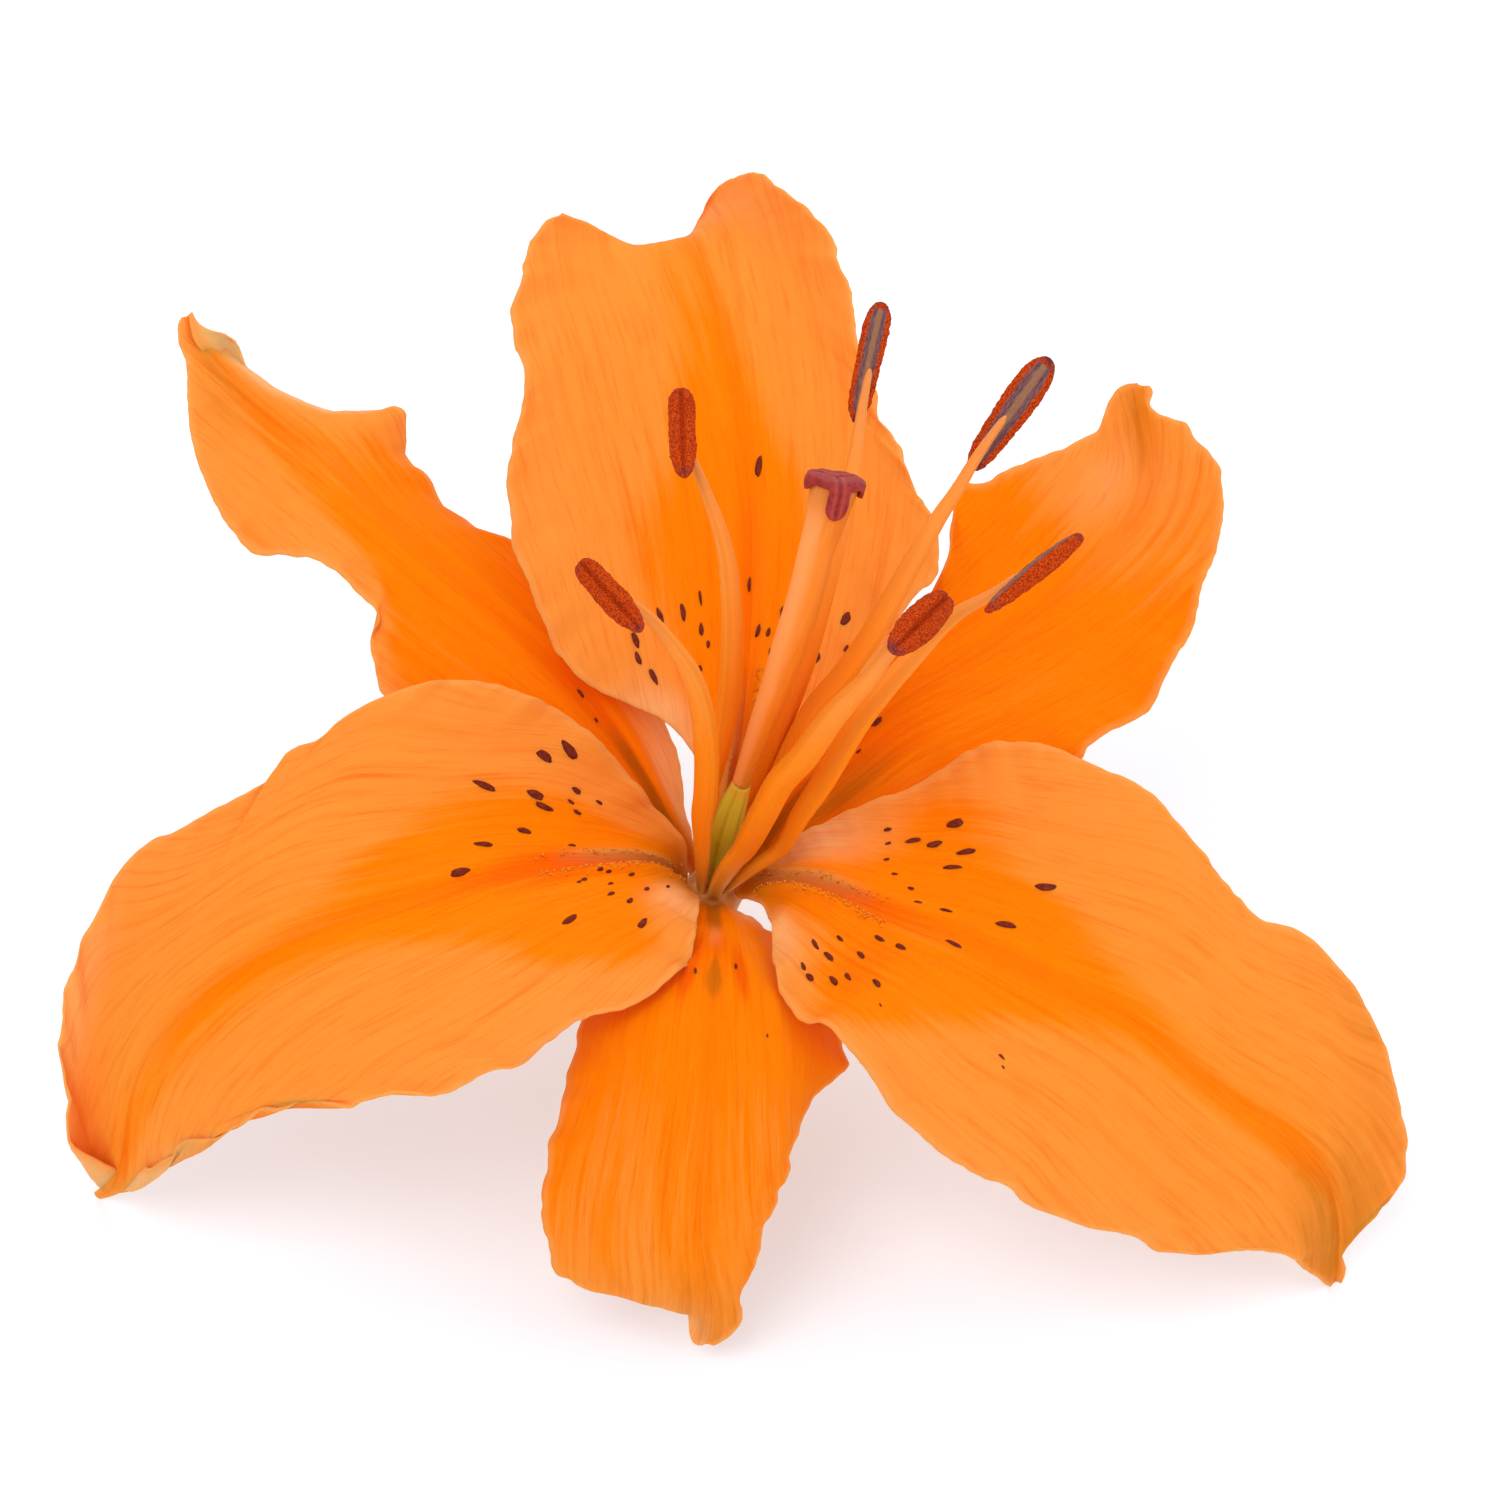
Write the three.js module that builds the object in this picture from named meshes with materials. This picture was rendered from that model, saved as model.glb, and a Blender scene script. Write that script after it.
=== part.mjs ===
// Orange cut lily bloom (a single open flower on a short cut stalk), resting on its petal tips
// and the cut end of the stalk. Millimetres, +Z up, resting plane at z = 0.
import * as THREE from 'three';

// ---- driving dimensions (mm) ----
const PETAL_THICKNESS = 0.9;
const SEPAL_THICKNESS = 0.8;
const MARGIN_THINNING = 0.45; // margin thickness as a share of the blade's
const MIDRIB_CREASE = 0.35; // how much of each tepal's hollow is gathered into the midrib furrow
const MARGIN_SOFTENING = 0.035;
const TEPAL_STATIONS = 34;
const TEPAL_ACROSS = 10;
const TIP_CROWDING = 1.2;
const FILAMENT_HALF_WIDTHS = [[0, 0.66], [0.12, 1.12], [0.3, 1.45], [0.5, 1.5], [0.7, 1.3], [0.86, 0.85], [1, 0.42]]; // [share of length, half width]
const FILAMENT_FLATNESS = [[0, 0.6], [0.15, 0.62], [0.4, 0.88], [1, 0.92]]; // [share of length, thickness over width]
const ANTHER_FLATNESS = 0.72;
const OVARY_BASE_RADIUS = 0.95;
const OVARY_RADIUS = 1.82;
const STYLE_BASE_RADIUS = 1.1;
const STYLE_FLARE = [[0, 2.74], [1, 2.68], [2, 2.52], [3, 2.42], [4.5, 2.26], [6.5, 2.12], [9, 2.05]]; // [depth below the top, radius]
const STYLE_GAP = 0.3;
const STIGMA_RADIUS = 3.2;
const STIGMA_LOBE = 0.2; // how much further the three lobes reach out
const STIGMA_HEIGHT = 1.35;
const STIGMA_TONGUE = 3.1; // the lobe that folds down the face side of the style
const STIGMA_SIDE_DROP = 1.2;
const RECEPTACLE_RADIUS = 3.9;
const BOSS_RADIUS = 1.85; // the raised middle that carries the stamens and the ovary, inside the ring of tepals
const BOSS_TOP = 0.75; // height of the boss along the bloom axis
const SHOULDER_DEPTH = 1.75; // tepal shoulder below the top of the boss
const PEDICEL_RADIUS = 2.1;
const PEDICEL_LENGTH = 32;
const PEDICEL_BEND = 8; // how far the cut end has curved back toward the top of the face

// Pose of the bloom on the resting surface: how far its open face looks up, a small roll, and the shift
// that puts the middle of the footprint at x = y = 0 and the lowest points at z = 0
const BLOOM_FACE_ELEVATION = (40.025 * Math.PI) / 180;
const BLOOM_ROLL = (-1.280 * Math.PI) / 180;
const BLOOM_SHIFT = { x: -3.092, y: -17.071, z: 29.748 };

// Bloom frame: origin at the receptacle, x to the right, y up the face, z out of the face (mm)
const BLOOM_AXIS = [0.123, 0.603, 0.788];

// Local hollows and rolls of a blade: [tepal, u, v, reach in u, reach in v, [x, y, z] shift]
const ROLLS = [
  ['petal_top', 0.84, -0.42, 0.055, 0.26, [0.1, -2.5, 0]],
  ['sepal_upper_left', 0.955, -0.62, 0.032, 0.24, [1.5, 2.3, -1.6]],
];

// Each tepal: midrib and both margins as [u, x, y, z], u from base (0) to tip (1)
const TEPALS = {
  petal_lower_left: { // 110.2 mm along the midrib
    out: 1,
    midrib: [
      [0, -3.21, -0.38, 0.49], [0.05, -5.85, 2.4, 5.37], [0.1, -9.41, 3.12, 9.5], [0.15, -13.42, 3.24, 13.29], [0.2, -17.7, 3.11, 16.75],
      [0.25, -22.16, 2.69, 19.96], [0.3, -26.82, 1.72, 22.72], [0.35, -31.63, 0.21, 24.96], [0.4, -36.56, -1.36, 26.85], [0.45, -41.61, -2.9, 28.42],
      [0.5, -46.71, -4.69, 29.49], [0.55, -51.62, -7.15, 29.72], [0.6, -56.07, -10.27, 28.85], [0.65, -60.01, -13.55, 26.86], [0.7, -63.21, -16.91, 23.91],
      [0.75, -65.58, -20.4, 20.36], [0.8, -67.24, -24.11, 16.65], [0.85, -68.35, -28.1, 13.01], [0.9, -69.4, -31.99, 9.26], [0.95, -71.06, -35.16, 5.09],
      [1, -73.7, -36.89, 0.6],
    ],
    left: [
      [0, -3.07, -0.03, 0.2], [0.06, -2.95, 4.4, 3], [0.12, -5.19, 8, 4.2], [0.2, -7.53, 10.75, 5.76], [0.23, -8.93, 12.66, 6.56],
      [0.26, -10.56, 14.79, 7.44], [0.29, -12.21, 16.5, 8.28], [0.32, -13.92, 18.09, 9.12], [0.35, -15.64, 19.71, 9.94], [0.38, -17.49, 21.13, 10.8],
      [0.43, -21.15, 22.75, 12.48], [0.48, -24.66, 24.13, 14.16], [0.505, -27.08, 24.58, 15.11], [0.53, -29.99, 24.79, 16.08], [0.55, -32.84, 24.35, 16.82],
      [0.57, -35.89, 23.5, 17.52], [0.59, -38.74, 22.29, 18.15], [0.61, -41.48, 20.82, 18.72], [0.625, -43.39, 19.46, 19.12], [0.64, -45.22, 17.67, 19.44],
      [0.655, -48.15, 16.61, 19.66], [0.67, -49.99, 13.92, 19.8], [0.685, -52.18, 12.27, 19.88], [0.7, -54.3, 11.13, 19.92], [0.73, -57.78, 9.36, 19.8],
      [0.76, -61.55, 7.23, 19.44], [0.79, -64.56, 6.06, 18.96], [0.82, -67.8, 3.14, 18.42], [0.835, -69.22, 1.08, 18.12], [0.85, -70.35, -1.19, 17.79],
      [0.865, -71.36, -3.27, 17.39], [0.88, -72.71, -5.31, 16.92], [0.8925, -73.54, -7.63, 16.41], [0.905, -74.51, -9.96, 15.84], [0.93, -75.19, -14.26, 14.76],
      [0.94, -75.52, -17.03, 14.17], [0.95, -75.76, -20.76, 13.44], [0.958, -75.2, -24.89, 12.67], [0.965, -75.32, -28.54, 11.92], [0.971, -74.18, -30.07, 11.23],
      [0.976, -72.68, -31.33, 10.4], [0.981, -70.99, -32.4, 9.19], [0.986, -69.83, -33.15, 7.6], [0.993, -71.73, -34.78, 4.63], [1, -73.94, -36.41, 0.6],
    ],
    right: [
      [0, -2.33, -1.03, 0.85], [0.04, -1.6, -0.85, 6.24], [0.08, -1.39, -1.51, 13.44], [0.13, -1.55, -3.26, 18.96], [0.18, -1.93, -6.1, 24.36],
      [0.23, -3.12, -8.3, 27.84], [0.28, -5.33, -10.19, 30.24], [0.33, -8.31, -11.65, 32.04], [0.38, -11.73, -12.67, 33.48], [0.43, -14.8, -13.7, 34.68],
      [0.48, -17.93, -16.06, 36], [0.505, -19.72, -17.43, 36.64], [0.53, -21.83, -18.5, 37.2], [0.555, -24.16, -19.11, 37.63], [0.58, -26.4, -20.2, 37.92],
      [0.605, -28.82, -20.98, 38.09], [0.63, -31.33, -21.5, 38.16], [0.65, -33.55, -21.63, 38.05], [0.67, -35.77, -21.75, 37.8], [0.71, -39.74, -22.4, 36.72],
      [0.75, -43.44, -22.42, 35.28], [0.79, -47.92, -23.28, 33.12], [0.83, -52.17, -24.98, 30.48], [0.87, -55.19, -26.97, 27.36], [0.9, -58.84, -27.72, 24.48],
      [0.93, -61.74, -30.13, 20.64], [0.955, -64.94, -31.62, 16.56], [0.965, -65.75, -32.1, 14.23], [0.978, -67.2, -33.15, 10.47], [0.987, -68.59, -34.49, 7.26],
      [0.994, -70.4, -36.03, 4.06], [1, -73.22, -37.13, 0.6],
    ],
  },
  petal_top: { // 112.1 mm along the midrib
    out: -1,
    midrib: [
      [0, 0.38, 2.16, -2.02], [0.05, 1.53, 7.65, 0.69], [0.1, 2.8, 13.03, 1.56], [0.15, 3.62, 18.57, 1.79], [0.2, 4.09, 24.15, 1.57],
      [0.25, 4.48, 29.71, 0.93], [0.3, 4.73, 35.25, 0.08], [0.35, 4.8, 40.74, -1.02], [0.4, 4.67, 46.16, -2.45], [0.45, 4.22, 51.47, -4.18],
      [0.5, 3.5, 56.63, -6.26], [0.55, 2.63, 61.58, -8.74], [0.6, 1.62, 66.32, -11.56], [0.65, 0.46, 70.84, -14.66], [0.7, -0.84, 75.09, -18.08],
      [0.75, -2.01, 78.82, -22.09], [0.8, -2.9, 81.53, -26.89], [0.85, -3.85, 82.4, -32.31], [0.9, -4.56, 81.43, -37.77], [0.95, -4.9, 78.78, -42.66],
      [1, -5.05, 74.48, -46.2],
    ],
    left: [
      [0, -0.59, 1.86, -1.63], [0.06, -1.07, 6.01, 0.6], [0.12, -1.41, 10.59, 2.16], [0.17, -1.88, 14.77, 3.12], [0.21, -3.77, 18.23, 4.08],
      [0.25, -7.08, 20.84, 4.8], [0.29, -10.87, 22.49, 5.28], [0.33, -15.01, 24.51, 5.52], [0.37, -17.98, 27.83, 5.52], [0.39, -19.23, 30.1, 5.4],
      [0.41, -20.37, 32.58, 5.16], [0.43, -21.39, 35.01, 4.84], [0.45, -22.31, 37.36, 4.44], [0.49, -23.79, 41.58, 3.48], [0.53, -24.08, 45.82, 2.28],
      [0.55, -24.61, 48.27, 1.64], [0.57, -24.39, 50.8, 0.96], [0.6, -23.39, 55.03, -0.24], [0.63, -22.74, 59.3, -1.44], [0.66, -22.93, 62.98, -2.76],
      [0.685, -23.99, 66.44, -4.2], [0.71, -24.31, 69.01, -5.52], [0.74, -23.44, 73.87, -7.44], [0.77, -22.4, 78.38, -9.84], [0.8, -19.24, 82.39, -13.2],
      [0.84, -17.31, 82.3, -19.8], [0.88, -14.47, 80.01, -27.36], [0.9, -12.7, 78.5, -31.14], [0.92, -10.89, 77.08, -34.8], [0.96, -7.83, 75.26, -41.4],
      [1, -5.84, 74.48, -46.2],
    ],
    right: [
      [0, 1.28, 1.87, -1.93], [0.06, 2.76, 6.01, 0.6], [0.12, 4.8, 9.63, 1.8], [0.18, 7.54, 13.22, 2.64], [0.21, 9.25, 15.31, 3.05],
      [0.24, 11.11, 17.51, 3.36], [0.27, 13.06, 19.71, 3.52], [0.3, 15.04, 21.92, 3.6], [0.33, 16.93, 24.01, 3.52], [0.36, 18.86, 26.33, 3.36],
      [0.385, 20.58, 28.97, 3.16], [0.41, 22.33, 31.83, 2.88], [0.44, 24.38, 34.95, 2.4], [0.46, 26.32, 36.52, 1.8], [0.48, 27.18, 38.34, 1.2],
      [0.5, 27.19, 40.77, 0.6], [0.53, 26.66, 44.18, -0.36], [0.56, 24.62, 47.16, -1.44], [0.59, 23.6, 50.82, -2.64], [0.62, 21.63, 53.93, -3.84],
      [0.65, 20.19, 57.13, -5.04], [0.665, 20.16, 59.7, -5.83], [0.68, 18.92, 62.2, -6.72], [0.695, 18.25, 64.75, -7.64], [0.71, 17.37, 67.21, -8.64],
      [0.735, 17.17, 71.11, -10.56], [0.76, 16.01, 75.56, -12.6], [0.785, 14.58, 79.86, -15], [0.81, 11.85, 83.88, -18], [0.835, 8.38, 87.11, -21.36],
      [0.86, 4.56, 89.35, -24.6], [0.885, 1.08, 88.71, -28.8], [0.91, -1.21, 86.49, -33], [0.94, -2.18, 83.27, -37.8], [0.955, -2.74, 81.07, -40.29],
      [0.97, -3.28, 78.66, -42.6], [0.985, -3.74, 76.32, -44.54], [1, -4.13, 73.96, -46.2],
    ],
  },
  sepal_upper_left: { // 96.5 mm along the midrib
    out: 1,
    midrib: [
      [0, -2.1, 2.07, -1.56], [0.05, -4.3, 5.71, -0.75], [0.1, -6.46, 9.91, 0.27], [0.15, -8.78, 14.06, 1.09], [0.2, -11.37, 18.07, 1.76],
      [0.25, -14.31, 21.88, 2.14], [0.3, -17.52, 25.48, 2.19], [0.35, -20.93, 28.88, 1.88], [0.4, -24.57, 31.99, 1.24], [0.45, -28.28, 34.93, 0.35],
      [0.5, -31.84, 38.03, -0.69], [0.55, -35.37, 41.11, -1.81], [0.6, -38.87, 44.16, -3.14], [0.65, -42.18, 47.3, -4.72], [0.7, -45.31, 50.6, -6.32],
      [0.75, -48.63, 53.7, -7.97], [0.8, -52.16, 56.56, -9.6], [0.85, -55.64, 59.56, -11.05], [0.9, -58.88, 62.91, -12.3], [0.95, -62.11, 66.35, -13.32],
      [1, -64.89, 70.19, -14.16],
    ],
    left: [
      [0, -1.44, 2.48, -1.98], [0.07, -2.18, 5.01, -1.44], [0.13, -2.78, 7.9, -1.2], [0.19, -3.5, 11.75, -1.2], [0.25, -4.35, 15.96, -1.68],
      [0.31, -5.81, 20.42, -2.4], [0.34, -6.84, 22.57, -2.89], [0.37, -8.13, 24.78, -3.48], [0.395, -9.52, 26.76, -4.09], [0.42, -11.2, 28.92, -4.8],
      [0.445, -13.22, 31.48, -5.61], [0.47, -15.51, 34.08, -6.48], [0.495, -18, 36.42, -7.34], [0.52, -20.46, 38.53, -8.16], [0.545, -22.51, 40.31, -8.87],
      [0.57, -24.58, 41.9, -9.6], [0.61, -28.96, 43.66, -11.04], [0.65, -32.88, 46.78, -12.6], [0.68, -35.78, 50.19, -13.8], [0.7, -37.65, 53.62, -14.4],
      [0.72, -38, 56.36, -14.52], [0.735, -38.2, 58.2, -14.4], [0.76, -40.65, 58.53, -15.36], [0.79, -45.17, 58.43, -17.16], [0.83, -49.74, 59.2, -18.84],
      [0.87, -54.15, 61, -19.44], [0.91, -57.06, 62.37, -17.76], [0.935, -58.82, 62.85, -15], [0.96, -61.32, 63.97, -12.48], [0.98, -63.07, 65.75, -11.76],
      [0.99, -64.1, 67.63, -12.12], [1, -64.54, 70.36, -13.44],
    ],
    right: [
      [0, -2.57, 1.63, -1.15], [0.07, -5.28, 3.59, -0.24], [0.14, -8.61, 5.54, 0.96], [0.17, -10.82, 6.8, 1.66], [0.2, -13.35, 8.2, 2.4],
      [0.235, -16.22, 9.65, 3.14], [0.27, -19.25, 11.2, 3.84], [0.3, -22.06, 12.88, 4.47], [0.33, -25.12, 14.78, 5.04], [0.355, -28.08, 16.58, 5.46],
      [0.38, -31, 18.34, 5.76], [0.405, -33.49, 19.73, 5.92], [0.43, -35.73, 21.06, 6], [0.47, -39.09, 23.26, 6], [0.5, -39.89, 26.27, 5.52],
      [0.53, -40.44, 29.63, 4.8], [0.555, -40.17, 32.75, 3.84], [0.575, -41.32, 34.76, 3.36], [0.6, -43.3, 36.71, 2.88], [0.63, -46.14, 38.66, 2.16],
      [0.66, -48.67, 39.67, 1.44], [0.69, -52.12, 39.83, 0.72], [0.72, -55.25, 40.36, -0.12], [0.75, -57.31, 42.23, -1.2], [0.78, -59.17, 44.85, -2.4],
      [0.81, -60.96, 48.16, -3.84], [0.84, -62.77, 52.28, -5.52], [0.87, -63.75, 56.12, -7.2], [0.9, -64.25, 59.96, -9], [0.93, -64.61, 63.8, -10.68],
      [0.96, -65.68, 66.73, -12.12], [0.98, -65.94, 68.96, -13.08], [1, -65.59, 69.92, -13.92],
    ],
  },
  sepal_upper_right: { // 86.1 mm along the midrib
    out: -1,
    midrib: [
      [0, 2.53, 1.72, -2.02], [0.05, 5.32, 4.62, -0.91], [0.1, 8, 7.82, 0.14], [0.15, 10.81, 11, 0.85], [0.2, 13.8, 14.09, 1.14],
      [0.25, 16.78, 17.19, 1.06], [0.3, 19.75, 20.26, 0.58], [0.35, 23.15, 22.76, -0.25], [0.4, 26.79, 24.78, -1.34], [0.45, 30.39, 26.8, -2.56],
      [0.5, 33.89, 29.02, -3.71], [0.55, 37.32, 31.37, -4.81], [0.6, 40.69, 33.8, -5.94], [0.65, 43.89, 36.46, -7.03], [0.7, 46.96, 39.32, -8.02],
      [0.75, 49.97, 42.27, -8.88], [0.8, 52.46, 45.68, -9.66], [0.85, 53.95, 49.62, -10.46], [0.9, 53.99, 53.78, -11.48], [0.95, 53.46, 57.77, -12.98],
      [1, 52.95, 61.6, -14.88],
    ],
    left: [
      [0, 1.77, 2.24, -2.29], [0.06, 2.15, 5.71, -2.04], [0.12, 4.2, 9.33, -1.68], [0.15, 5.49, 11.37, -1.68], [0.18, 6.97, 13.55, -1.68],
      [0.21, 8.68, 15.92, -1.89], [0.24, 10.59, 18.37, -2.28], [0.27, 12.61, 20.77, -2.74], [0.3, 14.83, 23.2, -3.24], [0.33, 17.3, 25.71, -3.66],
      [0.36, 19.99, 28.36, -4.14], [0.38, 22, 30.39, -4.62], [0.4, 23.91, 32.43, -5.14], [0.44, 26.68, 36, -6], [0.47, 28.3, 39.45, -6.96],
      [0.5, 29.23, 42.67, -7.92], [0.53, 29.37, 45.77, -8.88], [0.56, 29.36, 49.26, -9.84], [0.6, 32.79, 49.2, -10.8], [0.64, 36.11, 51.07, -11.88],
      [0.68, 40, 52.59, -12.84], [0.72, 43.33, 53.75, -13.56], [0.76, 45.76, 55.15, -14.16], [0.8, 47.53, 56.2, -14.64], [0.84, 48.42, 57.94, -15.12],
      [0.88, 48.95, 59.68, -15.6], [0.92, 50.13, 61.15, -15.84], [0.96, 51.66, 61.89, -15.6], [1, 52.45, 61.98, -14.88],
    ],
    right: [
      [0, 3.39, 1.03, -1.62], [0.06, 6.36, 2.51, -0.24], [0.12, 10.54, 4.35, 1.2], [0.15, 13.11, 5.24, 1.93], [0.18, 15.9, 6.18, 2.64],
      [0.21, 18.82, 7.32, 3.32], [0.24, 21.82, 8.47, 3.96], [0.27, 24.66, 9.46, 4.53], [0.3, 27.71, 10.39, 5.04], [0.325, 30.88, 11.09, 5.45],
      [0.35, 34.2, 11.82, 5.76], [0.375, 37.29, 12.68, 5.92], [0.4, 40.11, 13.6, 6], [0.44, 43.66, 15.02, 6], [0.47, 45.18, 17.21, 5.64],
      [0.5, 47.84, 19.07, 5.04], [0.53, 51.3, 20.56, 4.2], [0.56, 52.77, 22.82, 3.36], [0.6, 54.7, 26.01, 2.16], [0.64, 56.44, 29.07, 0.96],
      [0.68, 58.11, 32.9, -0.36], [0.72, 59.47, 37.1, -1.8], [0.76, 60.85, 41.36, -3.36], [0.78, 61.6, 43.81, -4.13], [0.8, 61.88, 46.27, -4.92],
      [0.835, 62.07, 50.02, -6.48], [0.865, 60.68, 52.83, -7.92], [0.89, 59.01, 54.65, -9.36], [0.915, 58.24, 56.56, -10.8], [0.94, 56.49, 57.24, -11.88],
      [0.96, 55.01, 57.84, -12.84], [0.975, 53.9, 59.26, -13.56], [0.99, 54.37, 60.81, -14.28], [1, 53.94, 61.6, -14.88],
    ],
  },
  petal_lower_right: { // 103.1 mm along the midrib
    out: -1,
    midrib: [
      [0, 2.98, -0.91, -0.07], [0.05, 6.45, 0.65, 4.67], [0.1, 10.14, 0.72, 8.27], [0.15, 14.12, 0.04, 11.47], [0.2, 18.13, -1.74, 14.15],
      [0.25, 22.45, -3.48, 16.34], [0.3, 27.02, -4.83, 18.32], [0.35, 31.44, -6.78, 20.1], [0.4, 35.92, -8.82, 21.65], [0.45, 40.52, -10.76, 22.92],
      [0.5, 45.14, -12.85, 23.83], [0.55, 49.56, -15.45, 24.31], [0.6, 53.57, -18.69, 24.29], [0.65, 57.53, -21.95, 23.78], [0.7, 61.75, -24.73, 22.78],
      [0.75, 65.83, -27.41, 21.13], [0.8, 69.06, -30.55, 18.66], [0.85, 71.65, -33.62, 15.44], [0.9, 73.03, -37.61, 12.52], [0.95, 73.69, -41.84, 9.65],
      [1, 73.73, -46.23, 6.96],
    ],
    left: [
      [0, 2.65, -0.39, -0.42], [0.04, 4.32, 2.22, 1.92], [0.1, 8.13, 4.89, 3.6], [0.13, 10.39, 6.34, 4.33], [0.16, 12.87, 7.77, 5.04],
      [0.19, 15.61, 9.07, 5.81], [0.22, 18.52, 10.29, 6.6], [0.245, 21.1, 11.23, 7.25], [0.27, 23.56, 12.19, 7.92], [0.31, 26.69, 14.09, 9.12],
      [0.33, 28.68, 15.39, 9.73], [0.35, 30.74, 16.56, 10.32], [0.385, 33.85, 17.61, 11.28], [0.42, 37.89, 17.38, 12.12], [0.45, 40.87, 16.56, 12.84],
      [0.48, 43.51, 15.39, 13.44], [0.5, 45.53, 14.4, 13.76], [0.52, 47.59, 13.52, 14.04], [0.56, 50.95, 11.7, 14.52], [0.58, 52.57, 10.16, 14.71],
      [0.6, 54.2, 8.34, 14.88], [0.63, 56.44, 5.64, 15.12], [0.66, 58.63, 2.33, 15.36], [0.685, 60.52, 0.53, 15.48], [0.705, 61.81, -1.42, 15.6],
      [0.73, 64.64, -3.42, 15.6], [0.755, 67.25, -3.9, 15.48], [0.775, 70.25, -5.67, 15.24], [0.795, 72.21, -7.94, 15], [0.825, 74.61, -10.69, 14.28],
      [0.84, 75.91, -12.66, 13.88], [0.855, 77.32, -14.99, 13.44], [0.8675, 78.42, -17.42, 13.04], [0.88, 79.43, -20.28, 12.6], [0.89, 80.16, -22.95, 12.18],
      [0.9, 80.73, -25.6, 11.76], [0.92, 81.55, -29.74, 11.04], [0.935, 81.53, -33, 10.44], [0.95, 80.56, -35.36, 9.96], [0.962, 78.64, -37.06, 9.6],
      [0.97, 76.09, -38.03, 9.36], [0.978, 74, -38.29, 9.12], [0.985, 73.57, -40.91, 8.88], [0.99, 74.38, -43.12, 8.16], [0.996, 74.96, -44.86, 7.44],
      [1, 74.48, -46.5, 6.72],
    ],
    right: [
      [0, 3.61, -1.34, 0.15], [0.03, 4.8, -1.25, 5.04], [0.06, 6.09, -1.77, 9.84], [0.09, 6.77, -2.99, 14.4], [0.12, 7.1, -4.91, 18.24],
      [0.15, 7.19, -7.57, 22.32], [0.18, 7.74, -10.15, 25.2], [0.21, 8.86, -12.16, 27.48], [0.25, 10.98, -13.84, 29.4], [0.29, 13.31, -14.97, 30.96],
      [0.33, 15.41, -16.45, 32.16], [0.37, 17.35, -18.92, 32.88], [0.4, 19.17, -21.52, 33.36], [0.42, 20.3, -23.43, 33.56], [0.44, 21.92, -25.05, 33.72],
      [0.48, 25.13, -27.67, 33.96], [0.51, 27.56, -29.56, 33.84], [0.55, 30.73, -31.25, 33.6], [0.58, 33.49, -32.21, 33.12], [0.6, 35.57, -34.25, 32.76],
      [0.635, 38.82, -35.69, 32.04], [0.655, 40.95, -36.47, 31.54], [0.675, 43.16, -37.16, 30.96], [0.6975, 45.69, -37.66, 30.23], [0.72, 47.84, -38.26, 29.4],
      [0.765, 50.34, -39.97, 27.36], [0.79, 53.34, -40.59, 26.04], [0.82, 56.48, -40.92, 24.36], [0.855, 61.09, -40.63, 22.08], [0.895, 65.76, -41.5, 18.84],
      [0.93, 67.98, -42.76, 15.36], [0.945, 69.42, -43.79, 13.92], [0.965, 70.92, -45.04, 11.52], [0.985, 72.31, -46.36, 8.64], [1, 73.14, -46.82, 6.96],
    ],
  },
  sepal_bottom: { // 78.2 mm along the midrib
    out: 1,
    midrib: [
      [0, -0.02, -2.15, 1.34], [0.05, 0.15, -2.15, 5.46], [0.1, 0.26, -2.54, 9.35], [0.15, 0.38, -3.23, 13.2], [0.2, 0.49, -4.24, 16.97],
      [0.25, 0.56, -5.54, 20.66], [0.3, 0.54, -7.04, 24.27], [0.35, 0.48, -8.89, 27.71], [0.4, 0.41, -11.37, 30.72], [0.45, 0.24, -14.38, 33.2],
      [0.5, 0.17, -17.86, 34.96], [0.55, -0.01, -21.61, 36.04], [0.6, -0.33, -25.48, 36.41], [0.65, -0.6, -29.34, 35.9], [0.7, -0.78, -33.03, 34.65],
      [0.75, -0.83, -36.56, 32.96], [0.8, -0.59, -39.85, 30.88], [0.85, -0.16, -42.94, 28.52], [0.9, 0.21, -45.91, 26.01], [0.95, 0.21, -48.82, 23.4],
      [1, -0.38, -51.52, 20.64],
    ],
    left: [
      [0, -1.29, -1.68, 1.18], [0.08, -1.84, -2.17, 5.76], [0.15, -2.48, -3.15, 10.56], [0.2, -3.59, -4.98, 14.16], [0.25, -5.51, -7.16, 17.04],
      [0.3, -8.1, -9.68, 19.44], [0.35, -11.48, -12.08, 21.6], [0.4, -14.28, -13.69, 23.16], [0.45, -15.14, -15.33, 24.24], [0.5, -15.52, -18.64, 25.44],
      [0.55, -16.29, -21.79, 26.04], [0.6, -17.03, -24.18, 27.16], [0.65, -17.9, -28.06, 27.8], [0.7, -18.58, -32.01, 27.84], [0.75, -19.17, -35.69, 27.4],
      [0.8, -18.54, -38.92, 26.48], [0.84, -18.04, -41.11, 25.26], [0.87, -17.39, -42.89, 23.87], [0.885, -16.12, -43.67, 23.54], [0.9, -14.54, -44.79, 23.65],
      [0.915, -12.52, -45.42, 23.93], [0.93, -9.68, -45.65, 24.09], [0.945, -6.61, -45.2, 23.99], [0.96, -2.86, -46.33, 23.3], [0.969, -2.39, -47.7, 22.49],
      [0.98, -2.41, -49.81, 21.25], [0.99, -1.87, -51.51, 20.7], [1, -0.95, -51.76, 20.52],
    ],
    right: [
      [0, 1.31, -1.88, 0.93], [0.05, 1.94, -2.38, 3.6], [0.1, 3.14, -2.64, 6], [0.15, 5.15, -3.6, 8.4], [0.2, 7.14, -5.02, 10.8],
      [0.25, 8.88, -7.03, 12.72], [0.3, 10.49, -9.48, 14.88], [0.35, 12.31, -12.02, 17.04], [0.4, 14.01, -14.57, 18.72], [0.44, 15.61, -17.04, 19.56],
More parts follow.
